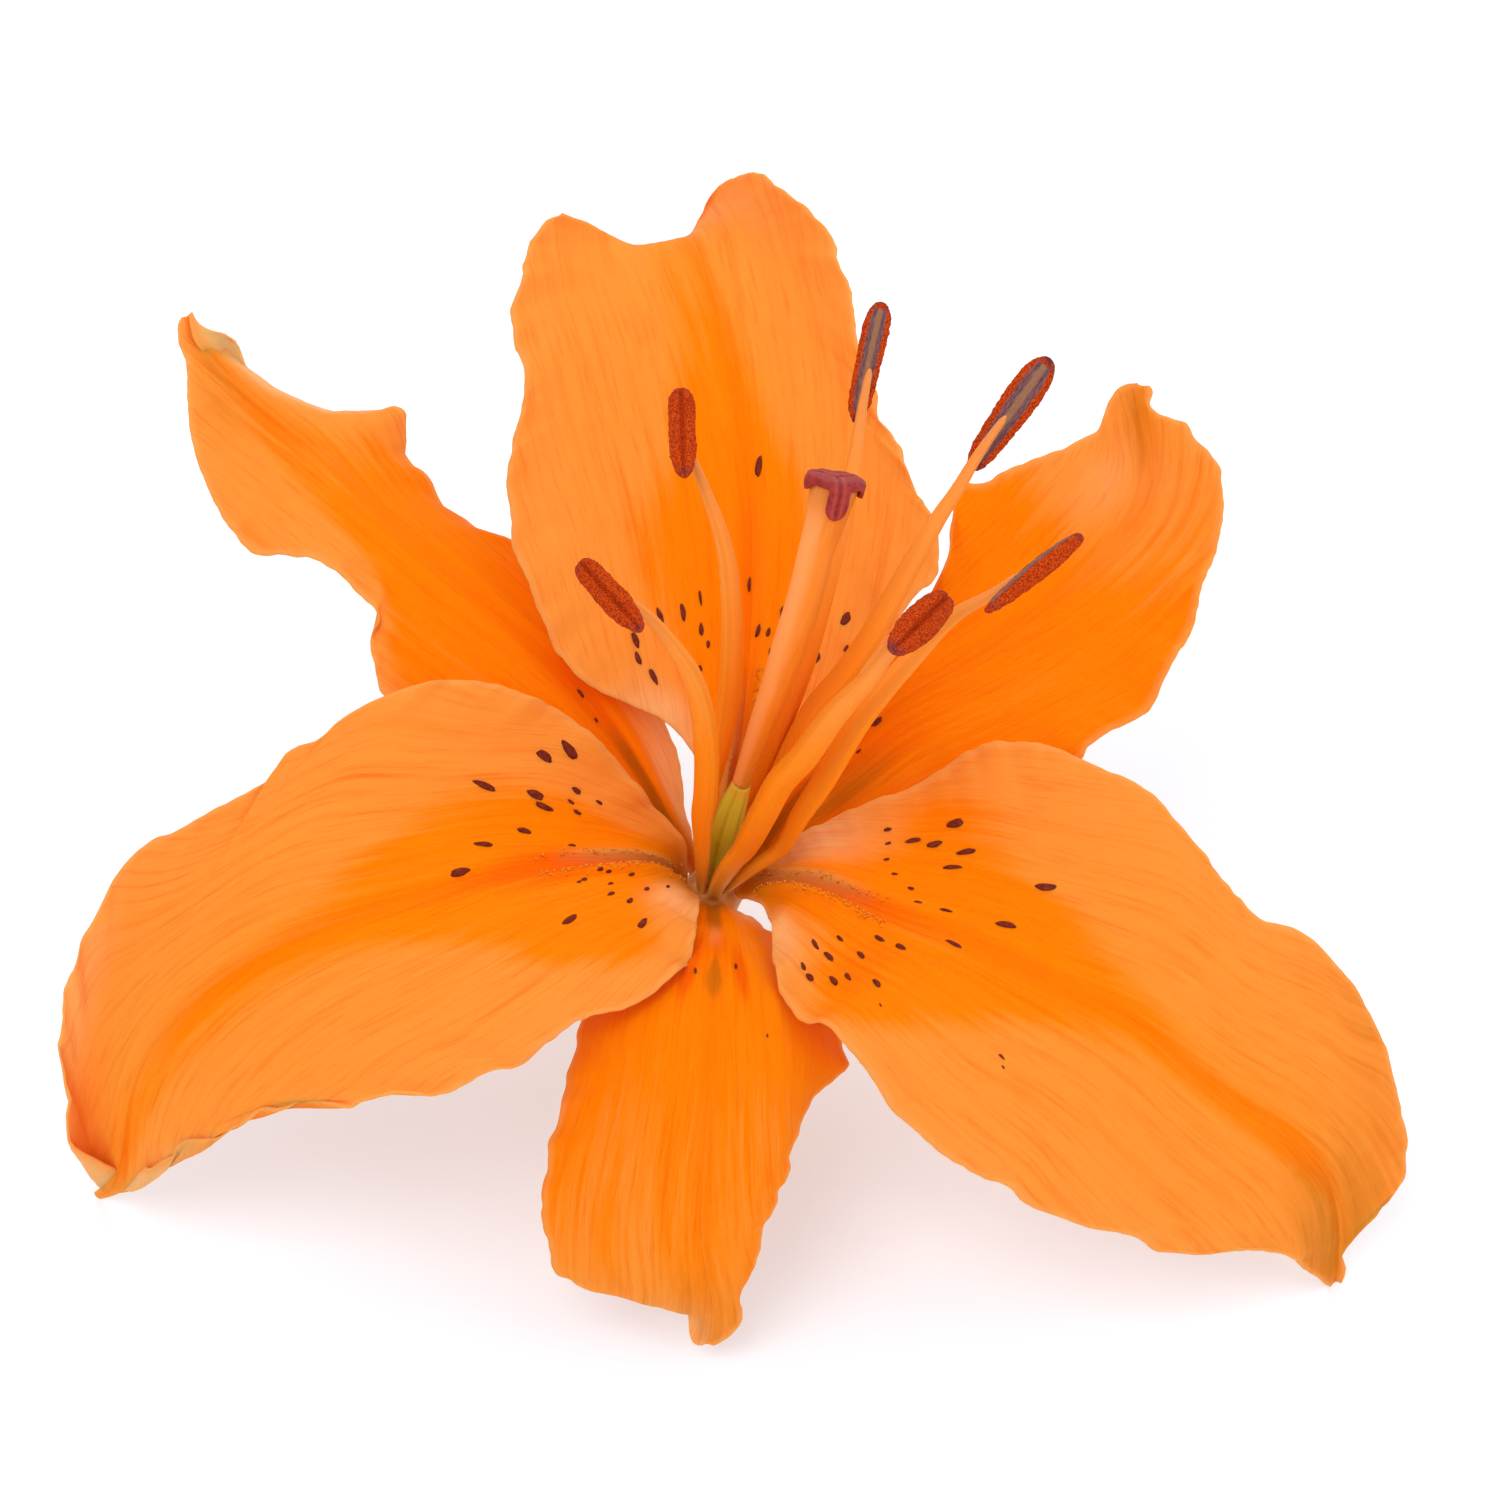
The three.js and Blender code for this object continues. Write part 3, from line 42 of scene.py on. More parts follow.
# Bloom frame in millimetres: origin at the receptacle, x right, y up the face, z out of the face.
# Each tepal: rows (u, x, y, z) along its midrib and its two margins, base (0) to tip (1).
TEPALS = {
    "petal_lower_left": {"out": 1,
        "midrib": [
            (0, -3.21, -0.38, 0.49), (0.05, -5.85, 2.4, 5.37), (0.1, -9.41, 3.12, 9.5), (0.15, -13.42, 3.24, 13.29), (0.2, -17.7, 3.11, 16.75),
            (0.25, -22.16, 2.69, 19.96), (0.3, -26.82, 1.72, 22.72), (0.35, -31.63, 0.21, 24.96), (0.4, -36.56, -1.36, 26.85), (0.45, -41.61, -2.9, 28.42),
            (0.5, -46.71, -4.69, 29.49), (0.55, -51.62, -7.15, 29.72), (0.6, -56.07, -10.27, 28.85), (0.65, -60.01, -13.55, 26.86), (0.7, -63.21, -16.91, 23.91),
            (0.75, -65.58, -20.4, 20.36), (0.8, -67.24, -24.11, 16.65), (0.85, -68.35, -28.1, 13.01), (0.9, -69.4, -31.99, 9.26), (0.95, -71.06, -35.16, 5.09),
            (1, -73.7, -36.89, 0.6),
        ],
        "left": [
            (0, -3.07, -0.03, 0.2), (0.06, -2.95, 4.4, 3), (0.12, -5.19, 8, 4.2), (0.2, -7.53, 10.75, 5.76), (0.23, -8.93, 12.66, 6.56),
            (0.26, -10.56, 14.79, 7.44), (0.29, -12.21, 16.5, 8.28), (0.32, -13.92, 18.09, 9.12), (0.35, -15.64, 19.71, 9.94), (0.38, -17.49, 21.13, 10.8),
            (0.43, -21.15, 22.75, 12.48), (0.48, -24.66, 24.13, 14.16), (0.505, -27.08, 24.58, 15.11), (0.53, -29.99, 24.79, 16.08), (0.55, -32.84, 24.35, 16.82),
            (0.57, -35.89, 23.5, 17.52), (0.59, -38.74, 22.29, 18.15), (0.61, -41.48, 20.82, 18.72), (0.625, -43.39, 19.46, 19.12), (0.64, -45.22, 17.67, 19.44),
            (0.655, -48.15, 16.61, 19.66), (0.67, -49.99, 13.92, 19.8), (0.685, -52.18, 12.27, 19.88), (0.7, -54.3, 11.13, 19.92), (0.73, -57.78, 9.36, 19.8),
            (0.76, -61.55, 7.23, 19.44), (0.79, -64.56, 6.06, 18.96), (0.82, -67.8, 3.14, 18.42), (0.835, -69.22, 1.08, 18.12), (0.85, -70.35, -1.19, 17.79),
            (0.865, -71.36, -3.27, 17.39), (0.88, -72.71, -5.31, 16.92), (0.8925, -73.54, -7.63, 16.41), (0.905, -74.51, -9.96, 15.84), (0.93, -75.19, -14.26, 14.76),
            (0.94, -75.52, -17.03, 14.17), (0.95, -75.76, -20.76, 13.44), (0.958, -75.2, -24.89, 12.67), (0.965, -75.32, -28.54, 11.92), (0.971, -74.18, -30.07, 11.23),
            (0.976, -72.68, -31.33, 10.4), (0.981, -70.99, -32.4, 9.19), (0.986, -69.83, -33.15, 7.6), (0.993, -71.73, -34.78, 4.63), (1, -73.94, -36.41, 0.6),
        ],
        "right": [
            (0, -2.33, -1.03, 0.85), (0.04, -1.6, -0.85, 6.24), (0.08, -1.39, -1.51, 13.44), (0.13, -1.55, -3.26, 18.96), (0.18, -1.93, -6.1, 24.36),
            (0.23, -3.12, -8.3, 27.84), (0.28, -5.33, -10.19, 30.24), (0.33, -8.31, -11.65, 32.04), (0.38, -11.73, -12.67, 33.48), (0.43, -14.8, -13.7, 34.68),
            (0.48, -17.93, -16.06, 36), (0.505, -19.72, -17.43, 36.64), (0.53, -21.83, -18.5, 37.2), (0.555, -24.16, -19.11, 37.63), (0.58, -26.4, -20.2, 37.92),
            (0.605, -28.82, -20.98, 38.09), (0.63, -31.33, -21.5, 38.16), (0.65, -33.55, -21.63, 38.05), (0.67, -35.77, -21.75, 37.8), (0.71, -39.74, -22.4, 36.72),
            (0.75, -43.44, -22.42, 35.28), (0.79, -47.92, -23.28, 33.12), (0.83, -52.17, -24.98, 30.48), (0.87, -55.19, -26.97, 27.36), (0.9, -58.84, -27.72, 24.48),
            (0.93, -61.74, -30.13, 20.64), (0.955, -64.94, -31.62, 16.56), (0.965, -65.75, -32.1, 14.23), (0.978, -67.2, -33.15, 10.47), (0.987, -68.59, -34.49, 7.26),
            (0.994, -70.4, -36.03, 4.06), (1, -73.22, -37.13, 0.6),
        ],
    },
    "petal_top": {"out": -1,
        "midrib": [
            (0, 0.38, 2.16, -2.02), (0.05, 1.53, 7.65, 0.69), (0.1, 2.8, 13.03, 1.56), (0.15, 3.62, 18.57, 1.79), (0.2, 4.09, 24.15, 1.57),
            (0.25, 4.48, 29.71, 0.93), (0.3, 4.73, 35.25, 0.08), (0.35, 4.8, 40.74, -1.02), (0.4, 4.67, 46.16, -2.45), (0.45, 4.22, 51.47, -4.18),
            (0.5, 3.5, 56.63, -6.26), (0.55, 2.63, 61.58, -8.74), (0.6, 1.62, 66.32, -11.56), (0.65, 0.46, 70.84, -14.66), (0.7, -0.84, 75.09, -18.08),
            (0.75, -2.01, 78.82, -22.09), (0.8, -2.9, 81.53, -26.89), (0.85, -3.85, 82.4, -32.31), (0.9, -4.56, 81.43, -37.77), (0.95, -4.9, 78.78, -42.66),
            (1, -5.05, 74.48, -46.2),
        ],
        "left": [
            (0, -0.59, 1.86, -1.63), (0.06, -1.07, 6.01, 0.6), (0.12, -1.41, 10.59, 2.16), (0.17, -1.88, 14.77, 3.12), (0.21, -3.77, 18.23, 4.08),
            (0.25, -7.08, 20.84, 4.8), (0.29, -10.87, 22.49, 5.28), (0.33, -15.01, 24.51, 5.52), (0.37, -17.98, 27.83, 5.52), (0.39, -19.23, 30.1, 5.4),
            (0.41, -20.37, 32.58, 5.16), (0.43, -21.39, 35.01, 4.84), (0.45, -22.31, 37.36, 4.44), (0.49, -23.79, 41.58, 3.48), (0.53, -24.08, 45.82, 2.28),
            (0.55, -24.61, 48.27, 1.64), (0.57, -24.39, 50.8, 0.96), (0.6, -23.39, 55.03, -0.24), (0.63, -22.74, 59.3, -1.44), (0.66, -22.93, 62.98, -2.76),
            (0.685, -23.99, 66.44, -4.2), (0.71, -24.31, 69.01, -5.52), (0.74, -23.44, 73.87, -7.44), (0.77, -22.4, 78.38, -9.84), (0.8, -19.24, 82.39, -13.2),
            (0.84, -17.31, 82.3, -19.8), (0.88, -14.47, 80.01, -27.36), (0.9, -12.7, 78.5, -31.14), (0.92, -10.89, 77.08, -34.8), (0.96, -7.83, 75.26, -41.4),
            (1, -5.84, 74.48, -46.2),
        ],
        "right": [
            (0, 1.28, 1.87, -1.93), (0.06, 2.76, 6.01, 0.6), (0.12, 4.8, 9.63, 1.8), (0.18, 7.54, 13.22, 2.64), (0.21, 9.25, 15.31, 3.05),
            (0.24, 11.11, 17.51, 3.36), (0.27, 13.06, 19.71, 3.52), (0.3, 15.04, 21.92, 3.6), (0.33, 16.93, 24.01, 3.52), (0.36, 18.86, 26.33, 3.36),
            (0.385, 20.58, 28.97, 3.16), (0.41, 22.33, 31.83, 2.88), (0.44, 24.38, 34.95, 2.4), (0.46, 26.32, 36.52, 1.8), (0.48, 27.18, 38.34, 1.2),
            (0.5, 27.19, 40.77, 0.6), (0.53, 26.66, 44.18, -0.36), (0.56, 24.62, 47.16, -1.44), (0.59, 23.6, 50.82, -2.64), (0.62, 21.63, 53.93, -3.84),
            (0.65, 20.19, 57.13, -5.04), (0.665, 20.16, 59.7, -5.83), (0.68, 18.92, 62.2, -6.72), (0.695, 18.25, 64.75, -7.64), (0.71, 17.37, 67.21, -8.64),
            (0.735, 17.17, 71.11, -10.56), (0.76, 16.01, 75.56, -12.6), (0.785, 14.58, 79.86, -15), (0.81, 11.85, 83.88, -18), (0.835, 8.38, 87.11, -21.36),
            (0.86, 4.56, 89.35, -24.6), (0.885, 1.08, 88.71, -28.8), (0.91, -1.21, 86.49, -33), (0.94, -2.18, 83.27, -37.8), (0.955, -2.74, 81.07, -40.29),
            (0.97, -3.28, 78.66, -42.6), (0.985, -3.74, 76.32, -44.54), (1, -4.13, 73.96, -46.2),
        ],
    },
    "sepal_upper_left": {"out": 1,
        "midrib": [
            (0, -2.1, 2.07, -1.56), (0.05, -4.3, 5.71, -0.75), (0.1, -6.46, 9.91, 0.27), (0.15, -8.78, 14.06, 1.09), (0.2, -11.37, 18.07, 1.76),
            (0.25, -14.31, 21.88, 2.14), (0.3, -17.52, 25.48, 2.19), (0.35, -20.93, 28.88, 1.88), (0.4, -24.57, 31.99, 1.24), (0.45, -28.28, 34.93, 0.35),
            (0.5, -31.84, 38.03, -0.69), (0.55, -35.37, 41.11, -1.81), (0.6, -38.87, 44.16, -3.14), (0.65, -42.18, 47.3, -4.72), (0.7, -45.31, 50.6, -6.32),
            (0.75, -48.63, 53.7, -7.97), (0.8, -52.16, 56.56, -9.6), (0.85, -55.64, 59.56, -11.05), (0.9, -58.88, 62.91, -12.3), (0.95, -62.11, 66.35, -13.32),
            (1, -64.89, 70.19, -14.16),
        ],
        "left": [
            (0, -1.44, 2.48, -1.98), (0.07, -2.18, 5.01, -1.44), (0.13, -2.78, 7.9, -1.2), (0.19, -3.5, 11.75, -1.2), (0.25, -4.35, 15.96, -1.68),
            (0.31, -5.81, 20.42, -2.4), (0.34, -6.84, 22.57, -2.89), (0.37, -8.13, 24.78, -3.48), (0.395, -9.52, 26.76, -4.09), (0.42, -11.2, 28.92, -4.8),
            (0.445, -13.22, 31.48, -5.61), (0.47, -15.51, 34.08, -6.48), (0.495, -18, 36.42, -7.34), (0.52, -20.46, 38.53, -8.16), (0.545, -22.51, 40.31, -8.87),
            (0.57, -24.58, 41.9, -9.6), (0.61, -28.96, 43.66, -11.04), (0.65, -32.88, 46.78, -12.6), (0.68, -35.78, 50.19, -13.8), (0.7, -37.65, 53.62, -14.4),
            (0.72, -38, 56.36, -14.52), (0.735, -38.2, 58.2, -14.4), (0.76, -40.65, 58.53, -15.36), (0.79, -45.17, 58.43, -17.16), (0.83, -49.74, 59.2, -18.84),
            (0.87, -54.15, 61, -19.44), (0.91, -57.06, 62.37, -17.76), (0.935, -58.82, 62.85, -15), (0.96, -61.32, 63.97, -12.48), (0.98, -63.07, 65.75, -11.76),
            (0.99, -64.1, 67.63, -12.12), (1, -64.54, 70.36, -13.44),
        ],
        "right": [
            (0, -2.57, 1.63, -1.15), (0.07, -5.28, 3.59, -0.24), (0.14, -8.61, 5.54, 0.96), (0.17, -10.82, 6.8, 1.66), (0.2, -13.35, 8.2, 2.4),
            (0.235, -16.22, 9.65, 3.14), (0.27, -19.25, 11.2, 3.84), (0.3, -22.06, 12.88, 4.47), (0.33, -25.12, 14.78, 5.04), (0.355, -28.08, 16.58, 5.46),
            (0.38, -31, 18.34, 5.76), (0.405, -33.49, 19.73, 5.92), (0.43, -35.73, 21.06, 6), (0.47, -39.09, 23.26, 6), (0.5, -39.89, 26.27, 5.52),
            (0.53, -40.44, 29.63, 4.8), (0.555, -40.17, 32.75, 3.84), (0.575, -41.32, 34.76, 3.36), (0.6, -43.3, 36.71, 2.88), (0.63, -46.14, 38.66, 2.16),
            (0.66, -48.67, 39.67, 1.44), (0.69, -52.12, 39.83, 0.72), (0.72, -55.25, 40.36, -0.12), (0.75, -57.31, 42.23, -1.2), (0.78, -59.17, 44.85, -2.4),
            (0.81, -60.96, 48.16, -3.84), (0.84, -62.77, 52.28, -5.52), (0.87, -63.75, 56.12, -7.2), (0.9, -64.25, 59.96, -9), (0.93, -64.61, 63.8, -10.68),
            (0.96, -65.68, 66.73, -12.12), (0.98, -65.94, 68.96, -13.08), (1, -65.59, 69.92, -13.92),
        ],
    },
    "sepal_upper_right": {"out": -1,
        "midrib": [
            (0, 2.53, 1.72, -2.02), (0.05, 5.32, 4.62, -0.91), (0.1, 8, 7.82, 0.14), (0.15, 10.81, 11, 0.85), (0.2, 13.8, 14.09, 1.14),
            (0.25, 16.78, 17.19, 1.06), (0.3, 19.75, 20.26, 0.58), (0.35, 23.15, 22.76, -0.25), (0.4, 26.79, 24.78, -1.34), (0.45, 30.39, 26.8, -2.56),
            (0.5, 33.89, 29.02, -3.71), (0.55, 37.32, 31.37, -4.81), (0.6, 40.69, 33.8, -5.94), (0.65, 43.89, 36.46, -7.03), (0.7, 46.96, 39.32, -8.02),
            (0.75, 49.97, 42.27, -8.88), (0.8, 52.46, 45.68, -9.66), (0.85, 53.95, 49.62, -10.46), (0.9, 53.99, 53.78, -11.48), (0.95, 53.46, 57.77, -12.98),
            (1, 52.95, 61.6, -14.88),
        ],
        "left": [
            (0, 1.77, 2.24, -2.29), (0.06, 2.15, 5.71, -2.04), (0.12, 4.2, 9.33, -1.68), (0.15, 5.49, 11.37, -1.68), (0.18, 6.97, 13.55, -1.68),
            (0.21, 8.68, 15.92, -1.89), (0.24, 10.59, 18.37, -2.28), (0.27, 12.61, 20.77, -2.74), (0.3, 14.83, 23.2, -3.24), (0.33, 17.3, 25.71, -3.66),
            (0.36, 19.99, 28.36, -4.14), (0.38, 22, 30.39, -4.62), (0.4, 23.91, 32.43, -5.14), (0.44, 26.68, 36, -6), (0.47, 28.3, 39.45, -6.96),
            (0.5, 29.23, 42.67, -7.92), (0.53, 29.37, 45.77, -8.88), (0.56, 29.36, 49.26, -9.84), (0.6, 32.79, 49.2, -10.8), (0.64, 36.11, 51.07, -11.88),
            (0.68, 40, 52.59, -12.84), (0.72, 43.33, 53.75, -13.56), (0.76, 45.76, 55.15, -14.16), (0.8, 47.53, 56.2, -14.64), (0.84, 48.42, 57.94, -15.12),
            (0.88, 48.95, 59.68, -15.6), (0.92, 50.13, 61.15, -15.84), (0.96, 51.66, 61.89, -15.6), (1, 52.45, 61.98, -14.88),
        ],
        "right": [
            (0, 3.39, 1.03, -1.62), (0.06, 6.36, 2.51, -0.24), (0.12, 10.54, 4.35, 1.2), (0.15, 13.11, 5.24, 1.93), (0.18, 15.9, 6.18, 2.64),
            (0.21, 18.82, 7.32, 3.32), (0.24, 21.82, 8.47, 3.96), (0.27, 24.66, 9.46, 4.53), (0.3, 27.71, 10.39, 5.04), (0.325, 30.88, 11.09, 5.45),
            (0.35, 34.2, 11.82, 5.76), (0.375, 37.29, 12.68, 5.92), (0.4, 40.11, 13.6, 6), (0.44, 43.66, 15.02, 6), (0.47, 45.18, 17.21, 5.64),
            (0.5, 47.84, 19.07, 5.04), (0.53, 51.3, 20.56, 4.2), (0.56, 52.77, 22.82, 3.36), (0.6, 54.7, 26.01, 2.16), (0.64, 56.44, 29.07, 0.96),
            (0.68, 58.11, 32.9, -0.36), (0.72, 59.47, 37.1, -1.8), (0.76, 60.85, 41.36, -3.36), (0.78, 61.6, 43.81, -4.13), (0.8, 61.88, 46.27, -4.92),
            (0.835, 62.07, 50.02, -6.48), (0.865, 60.68, 52.83, -7.92), (0.89, 59.01, 54.65, -9.36), (0.915, 58.24, 56.56, -10.8), (0.94, 56.49, 57.24, -11.88),
            (0.96, 55.01, 57.84, -12.84), (0.975, 53.9, 59.26, -13.56), (0.99, 54.37, 60.81, -14.28), (1, 53.94, 61.6, -14.88),
        ],
    },
    "petal_lower_right": {"out": -1,
        "midrib": [
            (0, 2.98, -0.91, -0.07), (0.05, 6.45, 0.65, 4.67), (0.1, 10.14, 0.72, 8.27), (0.15, 14.12, 0.04, 11.47), (0.2, 18.13, -1.74, 14.15),
            (0.25, 22.45, -3.48, 16.34), (0.3, 27.02, -4.83, 18.32), (0.35, 31.44, -6.78, 20.1), (0.4, 35.92, -8.82, 21.65), (0.45, 40.52, -10.76, 22.92),
            (0.5, 45.14, -12.85, 23.83), (0.55, 49.56, -15.45, 24.31), (0.6, 53.57, -18.69, 24.29), (0.65, 57.53, -21.95, 23.78), (0.7, 61.75, -24.73, 22.78),
            (0.75, 65.83, -27.41, 21.13), (0.8, 69.06, -30.55, 18.66), (0.85, 71.65, -33.62, 15.44), (0.9, 73.03, -37.61, 12.52), (0.95, 73.69, -41.84, 9.65),
            (1, 73.73, -46.23, 6.96),
        ],
        "left": [
            (0, 2.65, -0.39, -0.42), (0.04, 4.32, 2.22, 1.92), (0.1, 8.13, 4.89, 3.6), (0.13, 10.39, 6.34, 4.33), (0.16, 12.87, 7.77, 5.04),
            (0.19, 15.61, 9.07, 5.81), (0.22, 18.52, 10.29, 6.6), (0.245, 21.1, 11.23, 7.25), (0.27, 23.56, 12.19, 7.92), (0.31, 26.69, 14.09, 9.12),
            (0.33, 28.68, 15.39, 9.73), (0.35, 30.74, 16.56, 10.32), (0.385, 33.85, 17.61, 11.28), (0.42, 37.89, 17.38, 12.12), (0.45, 40.87, 16.56, 12.84),
            (0.48, 43.51, 15.39, 13.44), (0.5, 45.53, 14.4, 13.76), (0.52, 47.59, 13.52, 14.04), (0.56, 50.95, 11.7, 14.52), (0.58, 52.57, 10.16, 14.71),
            (0.6, 54.2, 8.34, 14.88), (0.63, 56.44, 5.64, 15.12), (0.66, 58.63, 2.33, 15.36), (0.685, 60.52, 0.53, 15.48), (0.705, 61.81, -1.42, 15.6),
            (0.73, 64.64, -3.42, 15.6), (0.755, 67.25, -3.9, 15.48), (0.775, 70.25, -5.67, 15.24), (0.795, 72.21, -7.94, 15), (0.825, 74.61, -10.69, 14.28),
            (0.84, 75.91, -12.66, 13.88), (0.855, 77.32, -14.99, 13.44), (0.8675, 78.42, -17.42, 13.04), (0.88, 79.43, -20.28, 12.6), (0.89, 80.16, -22.95, 12.18),
            (0.9, 80.73, -25.6, 11.76), (0.92, 81.55, -29.74, 11.04), (0.935, 81.53, -33, 10.44), (0.95, 80.56, -35.36, 9.96), (0.962, 78.64, -37.06, 9.6),
            (0.97, 76.09, -38.03, 9.36), (0.978, 74, -38.29, 9.12), (0.985, 73.57, -40.91, 8.88), (0.99, 74.38, -43.12, 8.16), (0.996, 74.96, -44.86, 7.44),
            (1, 74.48, -46.5, 6.72),
        ],
        "right": [
            (0, 3.61, -1.34, 0.15), (0.03, 4.8, -1.25, 5.04), (0.06, 6.09, -1.77, 9.84), (0.09, 6.77, -2.99, 14.4), (0.12, 7.1, -4.91, 18.24),
            (0.15, 7.19, -7.57, 22.32), (0.18, 7.74, -10.15, 25.2), (0.21, 8.86, -12.16, 27.48), (0.25, 10.98, -13.84, 29.4), (0.29, 13.31, -14.97, 30.96),
            (0.33, 15.41, -16.45, 32.16), (0.37, 17.35, -18.92, 32.88), (0.4, 19.17, -21.52, 33.36), (0.42, 20.3, -23.43, 33.56), (0.44, 21.92, -25.05, 33.72),
            (0.48, 25.13, -27.67, 33.96), (0.51, 27.56, -29.56, 33.84), (0.55, 30.73, -31.25, 33.6), (0.58, 33.49, -32.21, 33.12), (0.6, 35.57, -34.25, 32.76),
            (0.635, 38.82, -35.69, 32.04), (0.655, 40.95, -36.47, 31.54), (0.675, 43.16, -37.16, 30.96), (0.6975, 45.69, -37.66, 30.23), (0.72, 47.84, -38.26, 29.4),
            (0.765, 50.34, -39.97, 27.36), (0.79, 53.34, -40.59, 26.04), (0.82, 56.48, -40.92, 24.36), (0.855, 61.09, -40.63, 22.08), (0.895, 65.76, -41.5, 18.84),
            (0.93, 67.98, -42.76, 15.36), (0.945, 69.42, -43.79, 13.92), (0.965, 70.92, -45.04, 11.52), (0.985, 72.31, -46.36, 8.64), (1, 73.14, -46.82, 6.96),
        ],
    },
    "sepal_bottom": {"out": 1,
        "midrib": [
            (0, -0.02, -2.15, 1.34), (0.05, 0.15, -2.15, 5.46), (0.1, 0.26, -2.54, 9.35), (0.15, 0.38, -3.23, 13.2), (0.2, 0.49, -4.24, 16.97),
            (0.25, 0.56, -5.54, 20.66), (0.3, 0.54, -7.04, 24.27), (0.35, 0.48, -8.89, 27.71), (0.4, 0.41, -11.37, 30.72), (0.45, 0.24, -14.38, 33.2),
            (0.5, 0.17, -17.86, 34.96), (0.55, -0.01, -21.61, 36.04), (0.6, -0.33, -25.48, 36.41), (0.65, -0.6, -29.34, 35.9), (0.7, -0.78, -33.03, 34.65),
            (0.75, -0.83, -36.56, 32.96), (0.8, -0.59, -39.85, 30.88), (0.85, -0.16, -42.94, 28.52), (0.9, 0.21, -45.91, 26.01), (0.95, 0.21, -48.82, 23.4),
            (1, -0.38, -51.52, 20.64),
        ],
        "left": [
            (0, -1.29, -1.68, 1.18), (0.08, -1.84, -2.17, 5.76), (0.15, -2.48, -3.15, 10.56), (0.2, -3.59, -4.98, 14.16), (0.25, -5.51, -7.16, 17.04),
            (0.3, -8.1, -9.68, 19.44), (0.35, -11.48, -12.08, 21.6), (0.4, -14.28, -13.69, 23.16), (0.45, -15.14, -15.33, 24.24), (0.5, -15.52, -18.64, 25.44),
            (0.55, -16.29, -21.79, 26.04), (0.6, -17.03, -24.18, 27.16), (0.65, -17.9, -28.06, 27.8), (0.7, -18.58, -32.01, 27.84), (0.75, -19.17, -35.69, 27.4),
            (0.8, -18.54, -38.92, 26.48), (0.84, -18.04, -41.11, 25.26), (0.87, -17.39, -42.89, 23.87), (0.885, -16.12, -43.67, 23.54), (0.9, -14.54, -44.79, 23.65),
            (0.915, -12.52, -45.42, 23.93), (0.93, -9.68, -45.65, 24.09), (0.945, -6.61, -45.2, 23.99), (0.96, -2.86, -46.33, 23.3), (0.969, -2.39, -47.7, 22.49),
            (0.98, -2.41, -49.81, 21.25), (0.99, -1.87, -51.51, 20.7), (1, -0.95, -51.76, 20.52),
        ],
        "right": [
            (0, 1.31, -1.88, 0.93), (0.05, 1.94, -2.38, 3.6), (0.1, 3.14, -2.64, 6), (0.15, 5.15, -3.6, 8.4), (0.2, 7.14, -5.02, 10.8),
            (0.25, 8.88, -7.03, 12.72), (0.3, 10.49, -9.48, 14.88), (0.35, 12.31, -12.02, 17.04), (0.4, 14.01, -14.57, 18.72), (0.44, 15.61, -17.04, 19.56),
            (0.47, 16.16, -19.28, 20.4), (0.5, 13.93, -20.84, 22.08), (0.55, 11.68, -23.22, 23.88), (0.6, 10.31, -25.71, 26.08), (0.65, 9.28, -28.78, 27.68),
            (0.7, 8.82, -31.49, 28.56), (0.74, 7.59, -33.44, 28.78), (0.78, 6.58, -36.55, 28.41), (0.83, 5.23, -40.78, 27.01), (0.87, 3.97, -43.63, 25.31),
            (0.9, 3.63, -46, 23.92), (0.94, 3.62, -47.89, 22.7), (0.97, 1.83, -50.74, 21.31), (1, 0.31, -51.76, 20.52),
        ],
    },
}
